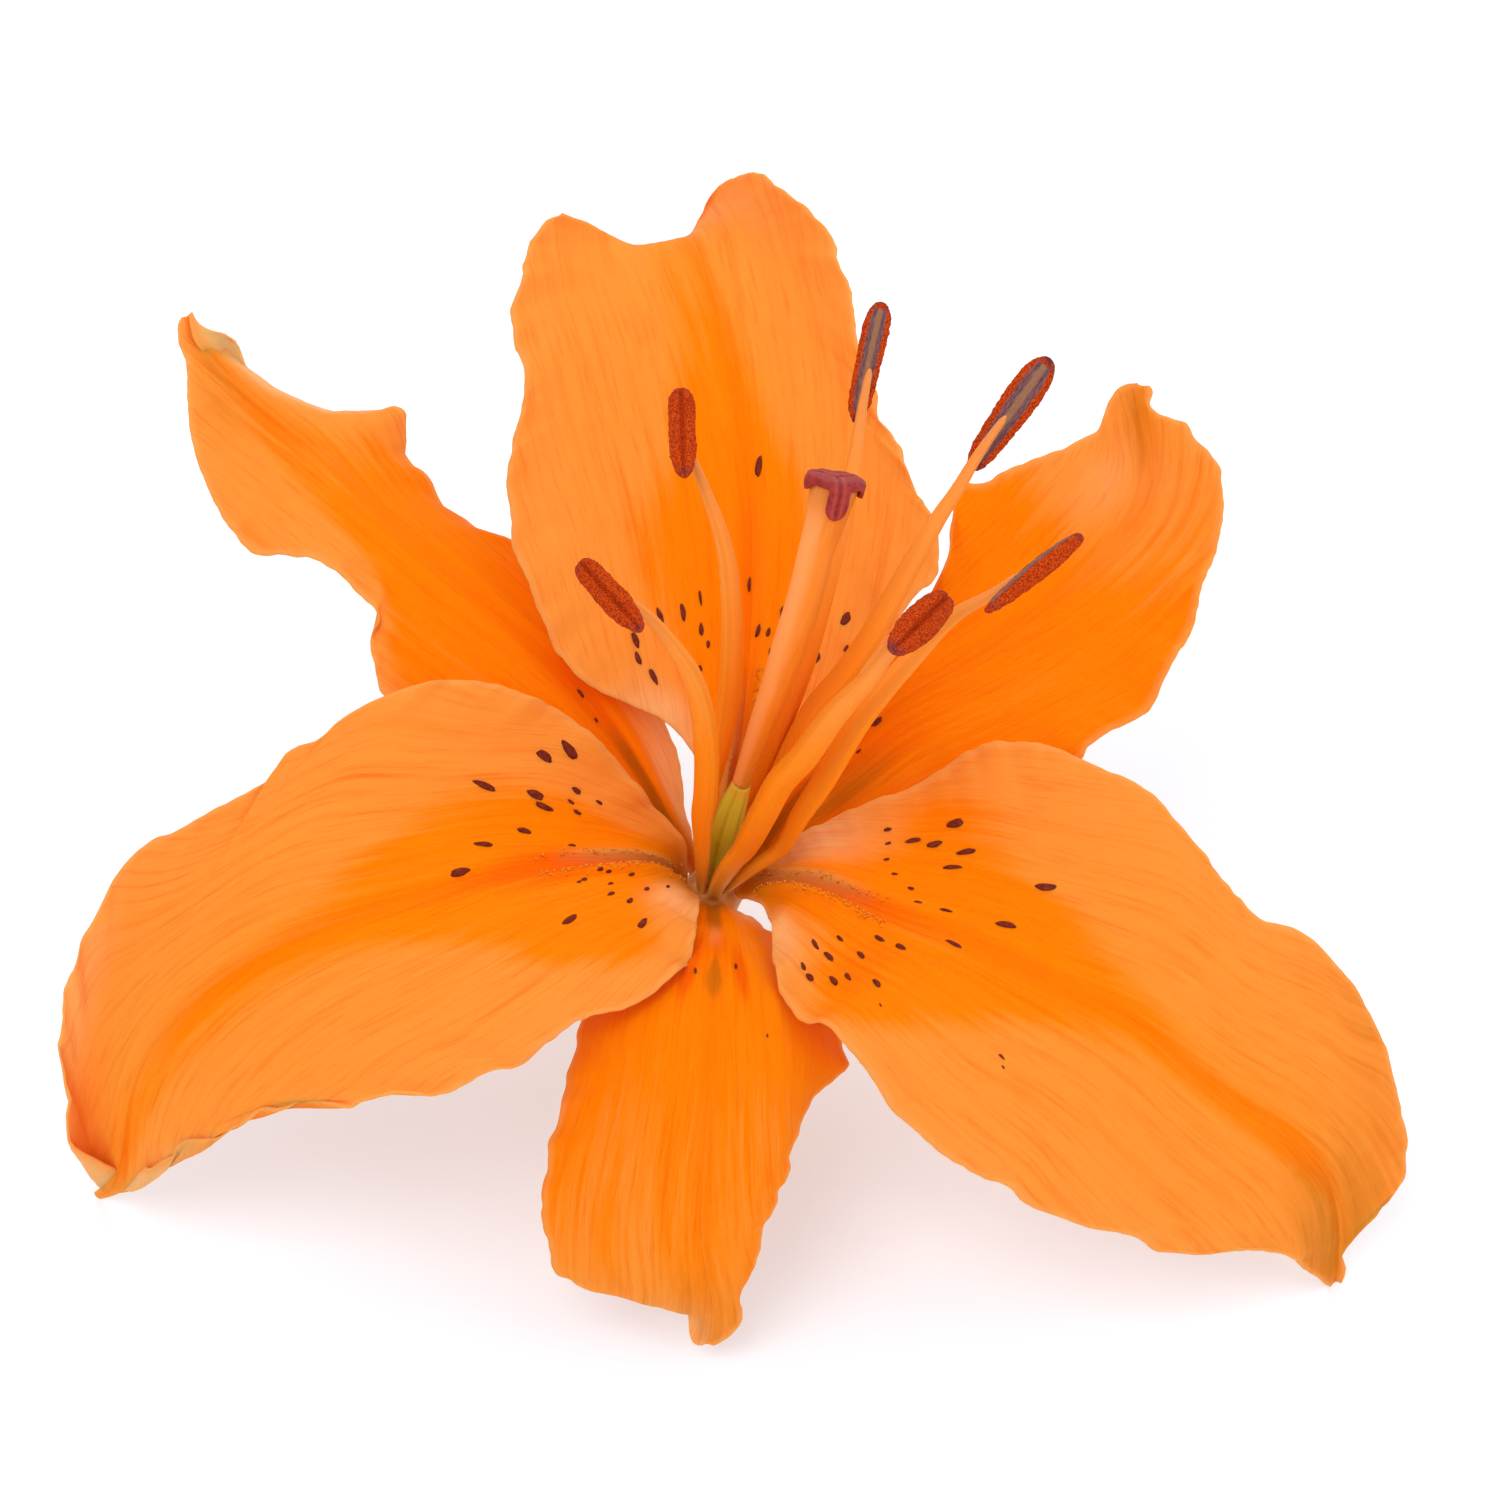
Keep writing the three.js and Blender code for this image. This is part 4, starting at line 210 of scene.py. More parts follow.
# Raised spots on the inner face: (u, v, length mm, width mm)
SPOTS = {
    "petal_top": [
        (0.445, 0.06, 2.9, 0.97), (0.31, -0.02, 1.72, 0.6), (0.318, -0.37, 1.71, 0.49), (0.315, -0.49, 2.06, 0.87), (0.328, -0.6, 1.93, 0.87), (0.285, -0.43, 1.57, 0.74),
        (0.265, -0.42, 0.96, 0.62), (0.247, -0.55, 0.84, 0.62), (0.3, 0.32, 1.46, 0.85), (0.263, 0.1, 1.58, 0.72), (0.268, 0.22, 1.21, 0.6), (0.253, 0.29, 0.85, 0.61),
        (0.325, -0.75, 2.03, 0.99), (0.307, -0.8, 1.67, 0.86), (0.28, -0.82, 2.02, 0.99), (0.36, 0.76, 1.94, 1.25), (0.3, 0.72, 1.56, 1.11), (0.323, 0.66, 0.97, 0.74),
        (0.357, 0.62, 1.1, 0.62), (0.343, 0.85, 0.96, 0.62),
    ],
    "sepal_upper_left": [
        (0.27, 0.02, 1.19, 0.63), (0.233, 0.11, 0.72, 0.49),
    ],
    "sepal_upper_right": [
        (0.297, 0.03, 1.7, 1.03), (0.25, 0.15, 0.72, 0.5),
    ],
    "petal_lower_left": [
        (0.325, -0.9, 2.48, 1.56), (0.34, -0.83, 2.23, 1.55), (0.372, -0.64, 2.81, 1.14), (0.3, -0.64, 2.28, 1.33), (0.275, -0.58, 2.19, 1.09), (0.263, -0.75, 1.41, 1.08),
        (0.253, -0.67, 0.91, 0.68), (0.233, -0.62, 1.05, 0.7), (0.228, -0.76, 0.91, 0.69), (0.268, -0.37, 1.94, 0.85), (0.307, -0.27, 2.23, 0.83), (0.193, -0.25, 1.11, 0.48),
        (0.32, -0.08, 2.31, 1.26), (0.25, 0.49, 2.17, 1.11), (0.185, 0.72, 2.34, 1), (0.163, 0.55, 1.44, 0.78), (0.173, 0.43, 1.19, 0.8), (0.158, 0.33, 0.84, 0.55),
        (0.15, 0.22, 0.81, 0.58), (0.16, 0.19, 0.94, 0.58), (0.185, 0.23, 0.9, 0.56), (0.193, 0.24, 0.74, 0.41), (0.12, 0.29, 1.08, 0.57), (0.122, 0.52, 1.26, 0.67),
        (0.088, 0.61, 1.08, 0.56),
    ],
    "petal_lower_right": [
        (0.315, -0.7, 2.19, 1.38), (0.26, -0.64, 1.83, 0.92), (0.285, -0.6, 2.09, 1.03), (0.323, -0.54, 2.43, 1.01), (0.305, -0.45, 2.08, 0.77), (0.415, -0.42, 2.58, 1.1),
        (0.37, -0.19, 2.25, 1.13), (0.233, -0.74, 0.98, 0.66), (0.23, -0.63, 0.74, 0.54), (0.225, -0.49, 0.74, 0.55), (0.233, -0.37, 0.74, 0.55), (0.253, -0.27, 0.86, 0.55),
        (0.263, -0.17, 0.98, 0.41), (0.297, -0.16, 1.46, 0.53), (0.235, 0.23, 1.51, 0.75), (0.263, 0.22, 1.48, 0.89), (0.315, 0.04, 2.04, 0.83), (0.175, 0.6, 1.65, 0.78),
        (0.195, 0.41, 1.09, 0.77), (0.2, 0.58, 1.66, 1.06), (0.23, 0.42, 1.41, 1.35), (0.185, 0.78, 1.2, 0.75), (0.203, 0.79, 1.56, 1.04), (0.228, 0.69, 1.56, 1.18),
        (0.238, 0.61, 1.28, 1.18), (0.273, 0.55, 1.48, 1.45), (0.302, 0.68, 0.48, 0.42), (0.44, 0.47, 1.02, 0.38), (0.45, 0.51, 0.45, 0.75),
    ],
    "sepal_bottom": [
        (0.345, -0.17, 1.08, 0.46), (0.333, 0.2, 1.08, 0.54), (0.455, 0.4, 0.5, 0.43),
    ],
}
STAMENS = {
    "top": {"azimuth": 90, "half_width": 1.62, "share": 0.9, "pollen_face": -1,
        "anther": [[19.89, 68.59, 15.36], [16.66, 54.24, 18.96]],
        "path": [
            (-0.03, 2.09, -0.22), (2.06, 7.39, 3.72), (5.39, 13.25, 7.44), (8.65, 20.65, 12.6), (10.94, 26.99, 16.2),
            (12.85, 33.83, 19.2), (14.32, 39.52, 20.64), (15.56, 45.21, 21.36), (16.59, 50.35, 21.6), (17.4, 55.53, 21.36),
            (18.35, 60.34, 20.16),
        ]},
    "upper_left": {"azimuth": 150, "half_width": 1.62, "share": 0.98, "pollen_face": 1,
        "anther": [[-3.27, 57.5, 26.16], [-2.75, 46.68, 36.72]],
        "path": [
            (-1.49, 1.37, 0.56), (-1.24, 7.68, 6.24), (0.47, 14.22, 12), (1.31, 17.72, 15), (2.02, 22.33, 18.6),
            (2.38, 26.52, 21.84), (2.51, 31.01, 24.6), (2.29, 34.8, 26.64), (1.96, 37.8, 27.84), (1.18, 41.14, 28.8),
            (-0.28, 45.26, 29.64), (-1.74, 48.83, 30), (-2.64, 51.23, 29.52),
        ]},
    "lower_left": {"azimuth": 210, "half_width": 1.62, "share": 1.06, "pollen_face": 1,
        "anther": [[-14.07, 37.16, 41.4], [-7.03, 29.34, 50.16]],
        "path": [
            (-1.32, -0.07, 1.63), (-1.11, 3.57, 7.44), (-1.03, 8.41, 14.16), (-0.51, 11.95, 19.2), (-0.34, 15.42, 23.76),
            (-0.52, 18.82, 27.84), (-1.04, 22.16, 31.44), (-2.33, 25.67, 35.4), (-4.05, 28.15, 38.16), (-6.41, 31.03, 41.04),
            (-8.56, 32.63, 42.48), (-10.18, 33.15, 42.96),
        ]},
    "bottom": {"azimuth": 270, "half_width": 2.04, "share": 1.2, "pollen_face": 1,
        "anther": [[26.26, 33.42, 39.0], [19.63, 27.03, 52.2]],
        "path": [
            (0.3, -0.78, 1.92), (2.44, 3.26, 9.12), (3.62, 4.6, 10.8), (5.72, 8.45, 16.2), (7.99, 12.78, 21.84),
            (10.69, 15.77, 25.8), (13.54, 19.81, 30.96), (15.48, 22.13, 33.84), (17.41, 24.09, 36.6), (19.84, 27.12, 39.84),
            (21.42, 28.6, 41.76), (22.47, 29.78, 42.72),
        ]},
    "lower_right": {"azimuth": 330, "half_width": 1.8, "share": 1.08, "pollen_face": 1,
        "anther": [[41.43, 40.51, 34.2], [30.42, 31.68, 41.4]],
        "path": [
            (1.76, -0.07, 1.15), (5.39, 2.98, 7.44), (8.21, 5.04, 9.6), (10.5, 9.11, 14.16), (13.1, 13.1, 18),
            (14.66, 15.87, 20.64), (16.98, 19.86, 24), (20.38, 24.24, 27.84), (22.35, 26.47, 29.4), (27.79, 31.86, 33),
            (31.48, 33.91, 34.8), (34.54, 36.1, 35.52),
        ]},
    "upper_right": {"azimuth": 30, "half_width": 2.04, "share": 0.95, "pollen_face": -1,
        "anther": [[39.24, 61.88, 17.4], [29.9, 48.81, 19.2]],
        "path": [
            (1.59, 1.37, 0.07), (5.39, 7.17, 4.56), (7.85, 13.27, 9.6), (11.77, 20.98, 15), (15.53, 25.57, 18),
            (18.13, 29.21, 19.8), (20.05, 32.5, 21), (23.32, 38.29, 22.32), (26.38, 43.52, 22.92), (28.09, 46.03, 22.92),
            (30.05, 49.36, 22.68), (33.89, 54.82, 21.6),
        ]},
}
OVARY_PATH = [[0.15, 0.72, 0.95], [1.24, 5.53, 5.52], [2.33, 9.28, 10.08], [3.39, 12.24, 13.2]]
STYLE_PATH = [[3.57, 12.71, 13.62], [4.44, 15.17, 15.6], [5.94, 19.44, 19.56], [7.64, 23.97, 23.64], [9.31, 28.99, 27.6], [10.84, 33.95, 30.96], [12.03, 38.87, 33.6], [13.0, 42.66, 35.4], [13.65, 45.59, 36.48]]
STIGMA_AXIS = [[13.65, 45.59, 36.48], [14.09, 47.86, 37.32]]
# Local hollows and rolls of a blade: [tepal, u, v, reach in u, reach in v, shift]
ROLLS = [
  ['petal_top', 0.84, -0.42, 0.055, 0.26, [0.1, -2.5, 0]],
  ['sepal_upper_left', 0.955, -0.62, 0.032, 0.24, [1.5, 2.3, -1.6]],
]
FILAMENT_HALF_WIDTHS = [[0, 0.66], [0.12, 1.12], [0.3, 1.45], [0.5, 1.5], [0.7, 1.3], [0.86, 0.85], [1, 0.42]]
FILAMENT_FLATNESS = [[0, 0.6], [0.15, 0.62], [0.4, 0.88], [1, 0.92]]
OVARY_RADIUS = 1.82
STYLE_FLARE = [[0, 2.74], [1, 2.68], [2, 2.52], [3, 2.42], [4.5, 2.26], [6.5, 2.12], [9, 2.05]]
STYLE_GAP = 0.3
STIGMA_RADIUS = 3.2
STIGMA_LOBE = 0.2
STIGMA_HEIGHT = 1.35
STIGMA_TONGUE = 3.1
STIGMA_SIDE_DROP = 1.2
BLOOM_AXIS = (0.123, 0.603, 0.788)
FACE_ELEVATION = math.radians(40.025)
ROLL = math.radians(-1.28)
SHIFT = (-3.092, -17.071, 29.748)
PEDICEL_LENGTH = 32.0
PEDICEL_BEND = 8.0
EYE = (4.56, 16.56, 476.16)  # the viewpoint, bloom frame

# ---------------------------------------------------------------- curves
def pchip(rows):
    """Monotone cubic through rows (u, x, y, z): returns f(u array) -> (n, 3)."""
    R = np.array(rows, float)
    u, Y = R[:, 0], R[:, 1:]
    h = np.diff(u)[:, None]
    d = np.diff(Y, axis=0) / h
    m = np.zeros_like(Y)
    w1, w2 = 2 * h[1:] + h[:-1], h[1:] + 2 * h[:-1]
    same = d[:-1] * d[1:] > 0
    with np.errstate(divide="ignore", invalid="ignore"):
        inner = (w1 + w2) / (w1 / d[:-1] + w2 / d[1:])
    m[1:-1] = np.where(same, inner, 0)

    def edge(h0, h1, d0, d1):
        s = ((2 * h0 + h1) * d0 - h0 * d1) / (h0 + h1)
        s = np.where(np.sign(s) != np.sign(d0), 0, s)
        return np.where((np.sign(d0) != np.sign(d1)) & (np.abs(s) > 3 * np.abs(d0)), 3 * d0, s)
    if len(u) > 2:
        m[0], m[-1] = edge(h[0], h[1], d[0], d[1]), edge(h[-1], h[-2], d[-1], d[-2])
    else:
        m[:] = d[0]

    def f(q):
        q = np.clip(np.asarray(q, float), u[0], u[-1])
        i = np.clip(np.searchsorted(u, q, side="right") - 1, 0, len(u) - 2)
        hh = (u[i + 1] - u[i])[..., None]
        s = ((q - u[i])[..., None]) / hh
        return (Y[i] * (1 + 2 * s) * (1 - s) ** 2 + m[i] * hh * s * (1 - s) ** 2
                + Y[i + 1] * s * s * (3 - 2 * s) + m[i + 1] * hh * s * s * (s - 1))
    return f


N_DENSE = 400
US = np.linspace(0, 1, N_DENSE + 1)


def smoothed(P, sigma):
    n = int(3 * sigma * N_DENSE)
    k = np.exp(-0.5 * (np.arange(-n, n + 1) / N_DENSE / sigma) ** 2)
    k /= k.sum()
    out = np.empty_like(P)
    for c in range(3):
        v = P[:, c]
        ext = np.r_[2 * v[0] - v[n:0:-1], v, 2 * v[-1] - v[-2:-n - 2:-1]]
        out[:, c] = np.convolve(ext, k, "valid")
    w = np.minimum(1, np.minimum(US / 0.06, (1 - US) / 0.16))[:, None]
    return out * w + P * (1 - w)


def lookup(D, u):
    return np.stack([np.interp(u, US, D[:, c]) for c in range(3)], -1)


CREASE = 0.35


def tepal_surface(t, name):
    rolls = [r[1:] for r in ROLLS if r[0] == name]
    mid = smoothed(pchip(t["midrib"])(US), 0.02)
    left, right = pchip(t["left"])(US), pchip(t["right"])(US)
    left_s, right_s = smoothed(left, 0.035), smoothed(right, 0.035)

    def S(u, v):
        M, L, R = lookup(mid, u), lookup(left_s, u), lookup(right_s, u)
        a = np.abs(v)[..., None]
        vv = v[..., None]
        f = (1 - CREASE) * vv ** 2 + CREASE * (np.sqrt(vv ** 2 + 0.01) - 0.1) / (math.sqrt(1.01) - 0.1)
        P = M + (R - L) * vv / 2 + ((L + R) / 2 - M) * f
        edge = np.where(vv < 0, lookup(left, u) - L, lookup(right, u) - R)
        tip = np.clip((u - 0.86) / 0.1, 0, 1)[..., None]
        P = P + edge * a ** (3 - 1.6 * tip * tip * (3 - 2 * tip))
        for u0, v0, su, sv, d in rolls:
            P = P + np.array(d) * np.exp(-((u - u0) / su) ** 2 - ((v - v0) / sv) ** 2)[..., None]
        return P
    return S


def norm(V):
    return V / (np.linalg.norm(V, axis=-1, keepdims=True) + 1e-12)


# ---------------------------------------------------------------- the bloom's lean on the resting surface
LEAN = (Matrix.Rotation(ROLL, 4, "Y") @ Matrix.Rotation(math.pi / 2 - FACE_ELEVATION, 4, "X"))
LEAN3 = np.array(LEAN.to_3x3())


def to_world(P):
    return (np.asarray(P) @ LEAN3.T + np.array(SHIFT)) * MM


# ---------------------------------------------------------------- mesh from arrays
def make_object(name, verts_mm, faces, attrs=None, uv=None, mat_index=None, materials=()):
    me = bpy.data.meshes.new(name)
    me.from_pydata(to_world(verts_mm).tolist(), [], [tuple(f) for f in faces])
    me.validate()
    me.polygons.foreach_set("use_smooth", np.ones(len(me.polygons), bool))
    for key, val in (attrs or {}).items():
        a = me.attributes.new(key, "FLOAT", "POINT")
        a.data.foreach_set("value", np.ascontiguousarray(val, np.float32))
    if uv is not None:
        layer = me.uv_layers.new(name="UVMap")
        loops = np.empty(len(me.loops), np.int32)
        me.loops.foreach_get("vertex_index", loops)
        layer.data.foreach_set("uv", np.ascontiguousarray(uv[loops], np.float32).ravel())
    for m in materials:
        me.materials.append(m)
    if mat_index is not None:
        me.polygons.foreach_set("material_index", np.ascontiguousarray(mat_index, np.int32))
    me.update()
    ob = bpy.data.objects.new(name, me)
    bpy.context.scene.collection.objects.link(ob)
    return ob


def grid_faces(nu, nv, off=0, flip=False, wrap=False):
    """Quads of a (nu x nv) vertex grid, row-major; wrap joins the last column to the first."""
    cols = nv if wrap else nv - 1
    i, j = np.meshgrid(np.arange(nu - 1), np.arange(cols), indexing="ij")
    a = i * nv + j
    b = i * nv + (j + 1) % nv
    c, d = a + nv, b + nv
    q = np.stack([a, c, d, b], -1).reshape(-1, 4) + off
    return q[:, ::-1] if flip else q


# ---------------------------------------------------------------- materials
def node_tree(name):
    m = bpy.data.materials.new(name)
    m.use_nodes = True
    nt = m.node_tree
    nt.nodes.clear()
    out = nt.nodes.new("ShaderNodeOutputMaterial")
    bsdf = nt.nodes.new("ShaderNodeBsdfPrincipled")
    nt.links.new(bsdf.outputs[0], out.inputs[0])
    return m, nt, bsdf, out


def lin(r, g, b):
    f = lambda c: (c / 255 / 12.92) if c / 255 <= 0.04045 else ((c / 255 + 0.055) / 1.055) ** 2.4
    return (f(r), f(g), f(b), 1)


class NT:
    def __init__(self, nt):
        self.nt = nt

    def n(self, kind, **kw):
        node = self.nt.nodes.new(kind)
        for k, v in kw.items():
            setattr(node, k, v)
        return node

    def link(self, a, b):
        self.nt.links.new(a, b)

    def attr(self, name):
        return self.n("ShaderNodeAttribute", attribute_name=name).outputs["Fac"]

    def math(self, op, a, b=None, c=None, clamp=False):
        m = self.n("ShaderNodeMath", operation=op, use_clamp=clamp)
        for i, x in enumerate((a, b, c)):
            if x is None:
                continue
            if isinstance(x, (int, float)):
                m.inputs[i].default_value = x
            else:
                self.link(x, m.inputs[i])
        return m.outputs[0]

    def smooth(self, x, lo, hi, a=0.0, b=1.0):
        r = self.n("ShaderNodeMapRange", interpolation_type="SMOOTHSTEP")
        self.link(x, r.inputs[0])
        r.inputs[1].default_value, r.inputs[2].default_value = lo, hi
        r.inputs[3].default_value, r.inputs[4].default_value = a, b
        return r.outputs[0]

    def combine(self, x, y, z):
        c = self.n("ShaderNodeCombineXYZ")
        for i, q in enumerate((x, y, z)):
            if isinstance(q, (int, float)):
                c.inputs[i].default_value = q
            else:
                self.link(q, c.inputs[i])
        return c.outputs[0]

    def noise(self, vec, scale, detail=3.0, rough=0.55, dims="3D", distortion=0.0):
        n = self.n("ShaderNodeTexNoise", noise_dimensions=dims)
        if vec is not None:
            self.link(vec, n.inputs["Vector"])
        n.inputs["Scale"].default_value = scale
        n.inputs["Detail"].default_value = detail
        n.inputs["Roughness"].default_value = rough
        n.inputs["Distortion"].default_value = distortion
        return n.outputs["Fac"]

    def ramp(self, fac, stops, interp="EASE"):
        r = self.n("ShaderNodeValToRGB")
        self.link(fac, r.inputs[0])
        cr = r.color_ramp
        cr.interpolation = interp
        while len(cr.elements) < len(stops):
            cr.elements.new(0.5)
        for e, (p, c) in zip(cr.elements, stops):
            e.position, e.color = p, c
        return r.outputs[0]

    def mixc(self, fac, a, b, mode="MIX"):
        m = self.n("ShaderNodeMix", data_type="RGBA", blend_type=mode)
        if isinstance(fac, (int, float)):
            m.inputs[0].default_value = fac
        else:
            self.link(fac, m.inputs[0])
        for i, x in ((6, a), (7, b)):
            if isinstance(x, tuple):
                m.inputs[i].default_value = x
            else:
                self.link(x, m.inputs[i])
        return m.outputs[2]

    def bump(self, height, dist, strength=1.0, normal=None):
        b = self.n("ShaderNodeBump")
        self.link(height, b.inputs["Height"])
        b.inputs["Distance"].default_value = dist
        b.inputs["Strength"].default_value = strength
        if normal is not None:
            self.link(normal, b.inputs["Normal"])
        return b.outputs[0]


def tepal_material(name, inner):
    m, nt, bsdf, out = node_tree(name)
    N = NT(nt)
    u, av = N.attr("along"), N.attr("across")          # 0..1 base to tip, 0..1 midrib to margin
    q, side = N.attr("vein"), N.attr("side")           # vein coordinate; which half
    rib, marg, face = N.attr("rib"), N.attr("marg"), N.attr("face")
    lane, flame, pale, deep, shade_and_nectar_drop = (N.attr(k) for k in ("lane", "band", "pale", "deep", "shade_and_nectar_drop"))
    pos = N.n("ShaderNodeTexCoord").outputs["Object"]
    # fine veins: narrow streaks that leave the midrib at a slant
    vq = N.combine(N.math("MULTIPLY", q, 60.0), N.math("MULTIPLY", lane, 3.0), side)
    streak = N.noise(vq, 1.6, 4.0, 0.62)
    fine = N.noise(N.combine(N.math("MULTIPLY", q, 190.0), N.math("MULTIPLY", lane, 9.0), side), 1.5, 2.0, 0.5)
    broad = N.noise(N.combine(N.math("MULTIPLY", q, 11.0), N.math("MULTIPLY", lane, 1.5), side), 1.4, 2.0, 0.5)
    ragged = N.math("ADD", N.math("MULTIPLY", N.math("SUBTRACT", streak, 0.5), 1.15), N.math("MULTIPLY", N.math("SUBTRACT", broad, 0.5), 1.25))
    # pale peach blade, a deep orange band along its middle that frays along the veins
    cols = N.ramp(av, [(0.0, lin(248, 142, 44)), (0.5, lin(247, 144, 52)), (1.0, lin(245, 146, 58))])
    cols = N.mixc(N.smooth(N.math("ADD", flame, N.math("MULTIPLY", ragged, N.smooth(flame, 0.0, 0.3, 0.15, 1.0))), 0.08, 0.86), cols, lin(250, 128, 0))
    cols = N.mixc(N.math("MULTIPLY", N.smooth(N.math("ADD", deep, N.math("MULTIPLY", ragged, 0.8)), 0.12, 0.95), 0.85), cols, lin(238, 90, 0))
    cols = N.mixc(N.math("MULTIPLY", N.smooth(N.math("ADD", pale, N.math("MULTIPLY", ragged, 0.3)), 0.1, 1.1), 0.9), cols, lin(250, 182, 122))
    cols = N.mixc(N.smooth(streak, 0.49, 0.74, 0.0, 0.36), cols, lin(238, 108, 0))
    cols = N.mixc(N.math("MULTIPLY", N.smooth(streak, 0.48, 0.22), N.smooth(flame, 0.9, 0.1, 0.06, 0.35)), cols, lin(253, 154, 62))
    cols = N.mixc(N.smooth(fine, 0.51, 0.74, 0.0, 0.34), cols, lin(228, 98, 4))
    # the olive-brown patches are painted shade at the blade bases, under the stamens and at curled tips; on the bottom
    # sepal they also give its real olive nectar drop
    cols = N.mixc(N.math("MULTIPLY", N.smooth(N.math("ADD", shade_and_nectar_drop, N.math("MULTIPLY", ragged, N.smooth(shade_and_nectar_drop, 0.02, 0.3, 0.0, 0.55))), 0.06, 0.95), 0.85), cols, lin(174, 102, 12))
    # midrib: a faint deeper line, painted shade along the midrib crease
    furrow = N.math("MULTIPLY", N.smooth(rib, 2.4, 0.3), N.smooth(u, 0.98, 0.6, 0.25, 1.0))
    cols = N.mixc(N.math("MULTIPLY", furrow, 0.30), cols, lin(244, 106, 0))
    # base claw: olive brown, partly its own tint and partly painted shade around the receptacle, then a brownish pink
    # nectar furrow
    claw_tint_and_shade = N.smooth(N.math("ADD", u, N.math("MULTIPLY", N.math("SUBTRACT", broad, 0.5), 0.05)), 0.15, 0.02)
    cols = N.mixc(N.math("MULTIPLY", claw_tint_and_shade, 0.75), cols, lin(184, 116, 14))
    if inner:
        fuzz = N.noise(pos, 1500.0, 3.0, 0.7)
        nect = N.math("MULTIPLY", N.attr("nectar"), N.smooth(fuzz, 0.2, 0.62, 0.55, 1.0))
        cols = N.mixc(N.math("MULTIPLY", nect, 0.9), cols, lin(206, 146, 76))
    else:
        stain = N.math("MULTIPLY", N.smooth(rib, 1.3, 0.4), N.math("MULTIPLY", N.smooth(u, 0.03, 0.08), N.smooth(u, 0.24, 0.17)))
        cols = N.mixc(N.math("MULTIPLY", stain, 0.6), cols, lin(140, 84, 10))
    # papery pale rim
    rimf = N.smooth(marg, 1.3, 0.15)
    cols = N.mixc(N.math("MULTIPLY", rimf, 0.40), cols, lin(247, 166, 98))
    # soft mottling
    mott = N.noise(pos, 420.0, 2.0, 0.6)
    cols = N.mixc(N.math("MULTIPLY", N.smooth(mott, 0.42, 0.75, 0.0, 0.14), N.smooth(flame, 0.9, 0.1, 0.15, 1.0)), cols, lin(252, 150, 56))
    # underside: duller and paler, with a greenish keel
    back = N.mixc(N.smooth(N.noise(vq, 1.2, 3.0), 0.4, 0.7, 0.0, 0.6), lin(236, 130, 50), lin(222, 108, 30))
    keel = N.math("MULTIPLY", N.smooth(rib, 2.6, 0.6), N.smooth(u, 1.0, 0.35, 0.45, 1.0))
    back = N.mixc(N.math("MULTIPLY", keel, 0.7), back, lin(176, 134, 56))
    back = N.mixc(N.math("MULTIPLY", N.smooth(u, 0.22, 0.0), 0.8), back, lin(168, 150, 62))
    back = N.mixc(N.smooth(u, 0.84, 0.95, 0.0, 0.75), back, lin(246, 178, 112))
    cols = N.mixc(face, back, cols)
    N.link(cols, bsdf.inputs["Base Color"])
    rough = N.math("ADD", N.math("MULTIPLY", N.noise(pos, 900.0, 3.0), 0.16), 0.42)
    N.link(rough, bsdf.inputs["Roughness"])
    bsdf.inputs["Specular IOR Level"].default_value = 0.018
    bsdf.inputs["Subsurface Weight"].default_value = 0.35
    bsdf.inputs["Subsurface Radius"].default_value = (1.0, 0.32, 0.06)
    bsdf.inputs["Subsurface Scale"].default_value = 0.0025
    b1 = N.bump(streak, 0.00035, 0.55)
    b2 = N.bump(fine, 0.00012, 0.5, b1)
    N.link(b2, bsdf.inputs["Normal"])
    return m


def simple_material(name, colour_fn, rough=0.45, spec=0.4, sss=0.2, coat=0.0, bump_fn=None):
    m, nt, bsdf, out = node_tree(name)
    N = NT(nt)
    pos = N.n("ShaderNodeTexCoord").outputs["Object"]
    N.link(colour_fn(N, pos), bsdf.inputs["Base Color"])
    N.link(N.math("ADD", N.math("MULTIPLY", N.noise(pos, 1500.0, 3.0), 0.2), rough - 0.1), bsdf.inputs["Roughness"])
    bsdf.inputs["Specular IOR Level"].default_value = spec
    if sss:
        bsdf.inputs["Subsurface Weight"].default_value = sss
        bsdf.inputs["Subsurface Radius"].default_value = (1.0, 0.4, 0.1)
        bsdf.inputs["Subsurface Scale"].default_value = 0.0015
    if coat:
        bsdf.inputs["Coat Weight"].default_value = coat
        bsdf.inputs["Coat Roughness"].default_value = 0.15
    if bump_fn:
        N.link(bump_fn(N, pos), bsdf.inputs["Normal"])
    return m


def spot_colour(N, pos):
    n = N.noise(pos, 2600.0, 3.0)
    return N.ramp(n, [(0.3, lin(92, 22, 14)), (0.7, lin(132, 42, 20))])


MAT_PETAL = tepal_material("petal_skin", True)
MAT_SEPAL = tepal_material("sepal_skin", False)
MAT_SPOT = simple_material("spot_papilla", spot_colour, 0.5, 0.12, 0.1,
                           bump_fn=lambda N, p: N.bump(N.noise(p, 4000.0, 2.0), 0.0001, 0.5))


# ---------------------------------------------------------------- tepals
def waves(rng, length, table):
    """Irregular margin wave as a function of arc length: table of (wavelength mm, amplitude)."""
    terms = [(2 * math.pi / (w * rng.uniform(0.85, 1.2)), a, rng.uniform(0, 6.283), 2 * math.pi / rng.uniform(26, 44), rng.uniform(0, 6.283)) for w, a in table]

    def f(s):
        y = np.zeros_like(s)
        for k, a, p, k2, p2 in terms:
            y += a * np.sin(k * s + p + 0.9 * np.sin(k2 * s + p2)) * (0.65 + 0.35 * np.sin(k2 * s + p2))
        return y
    return f
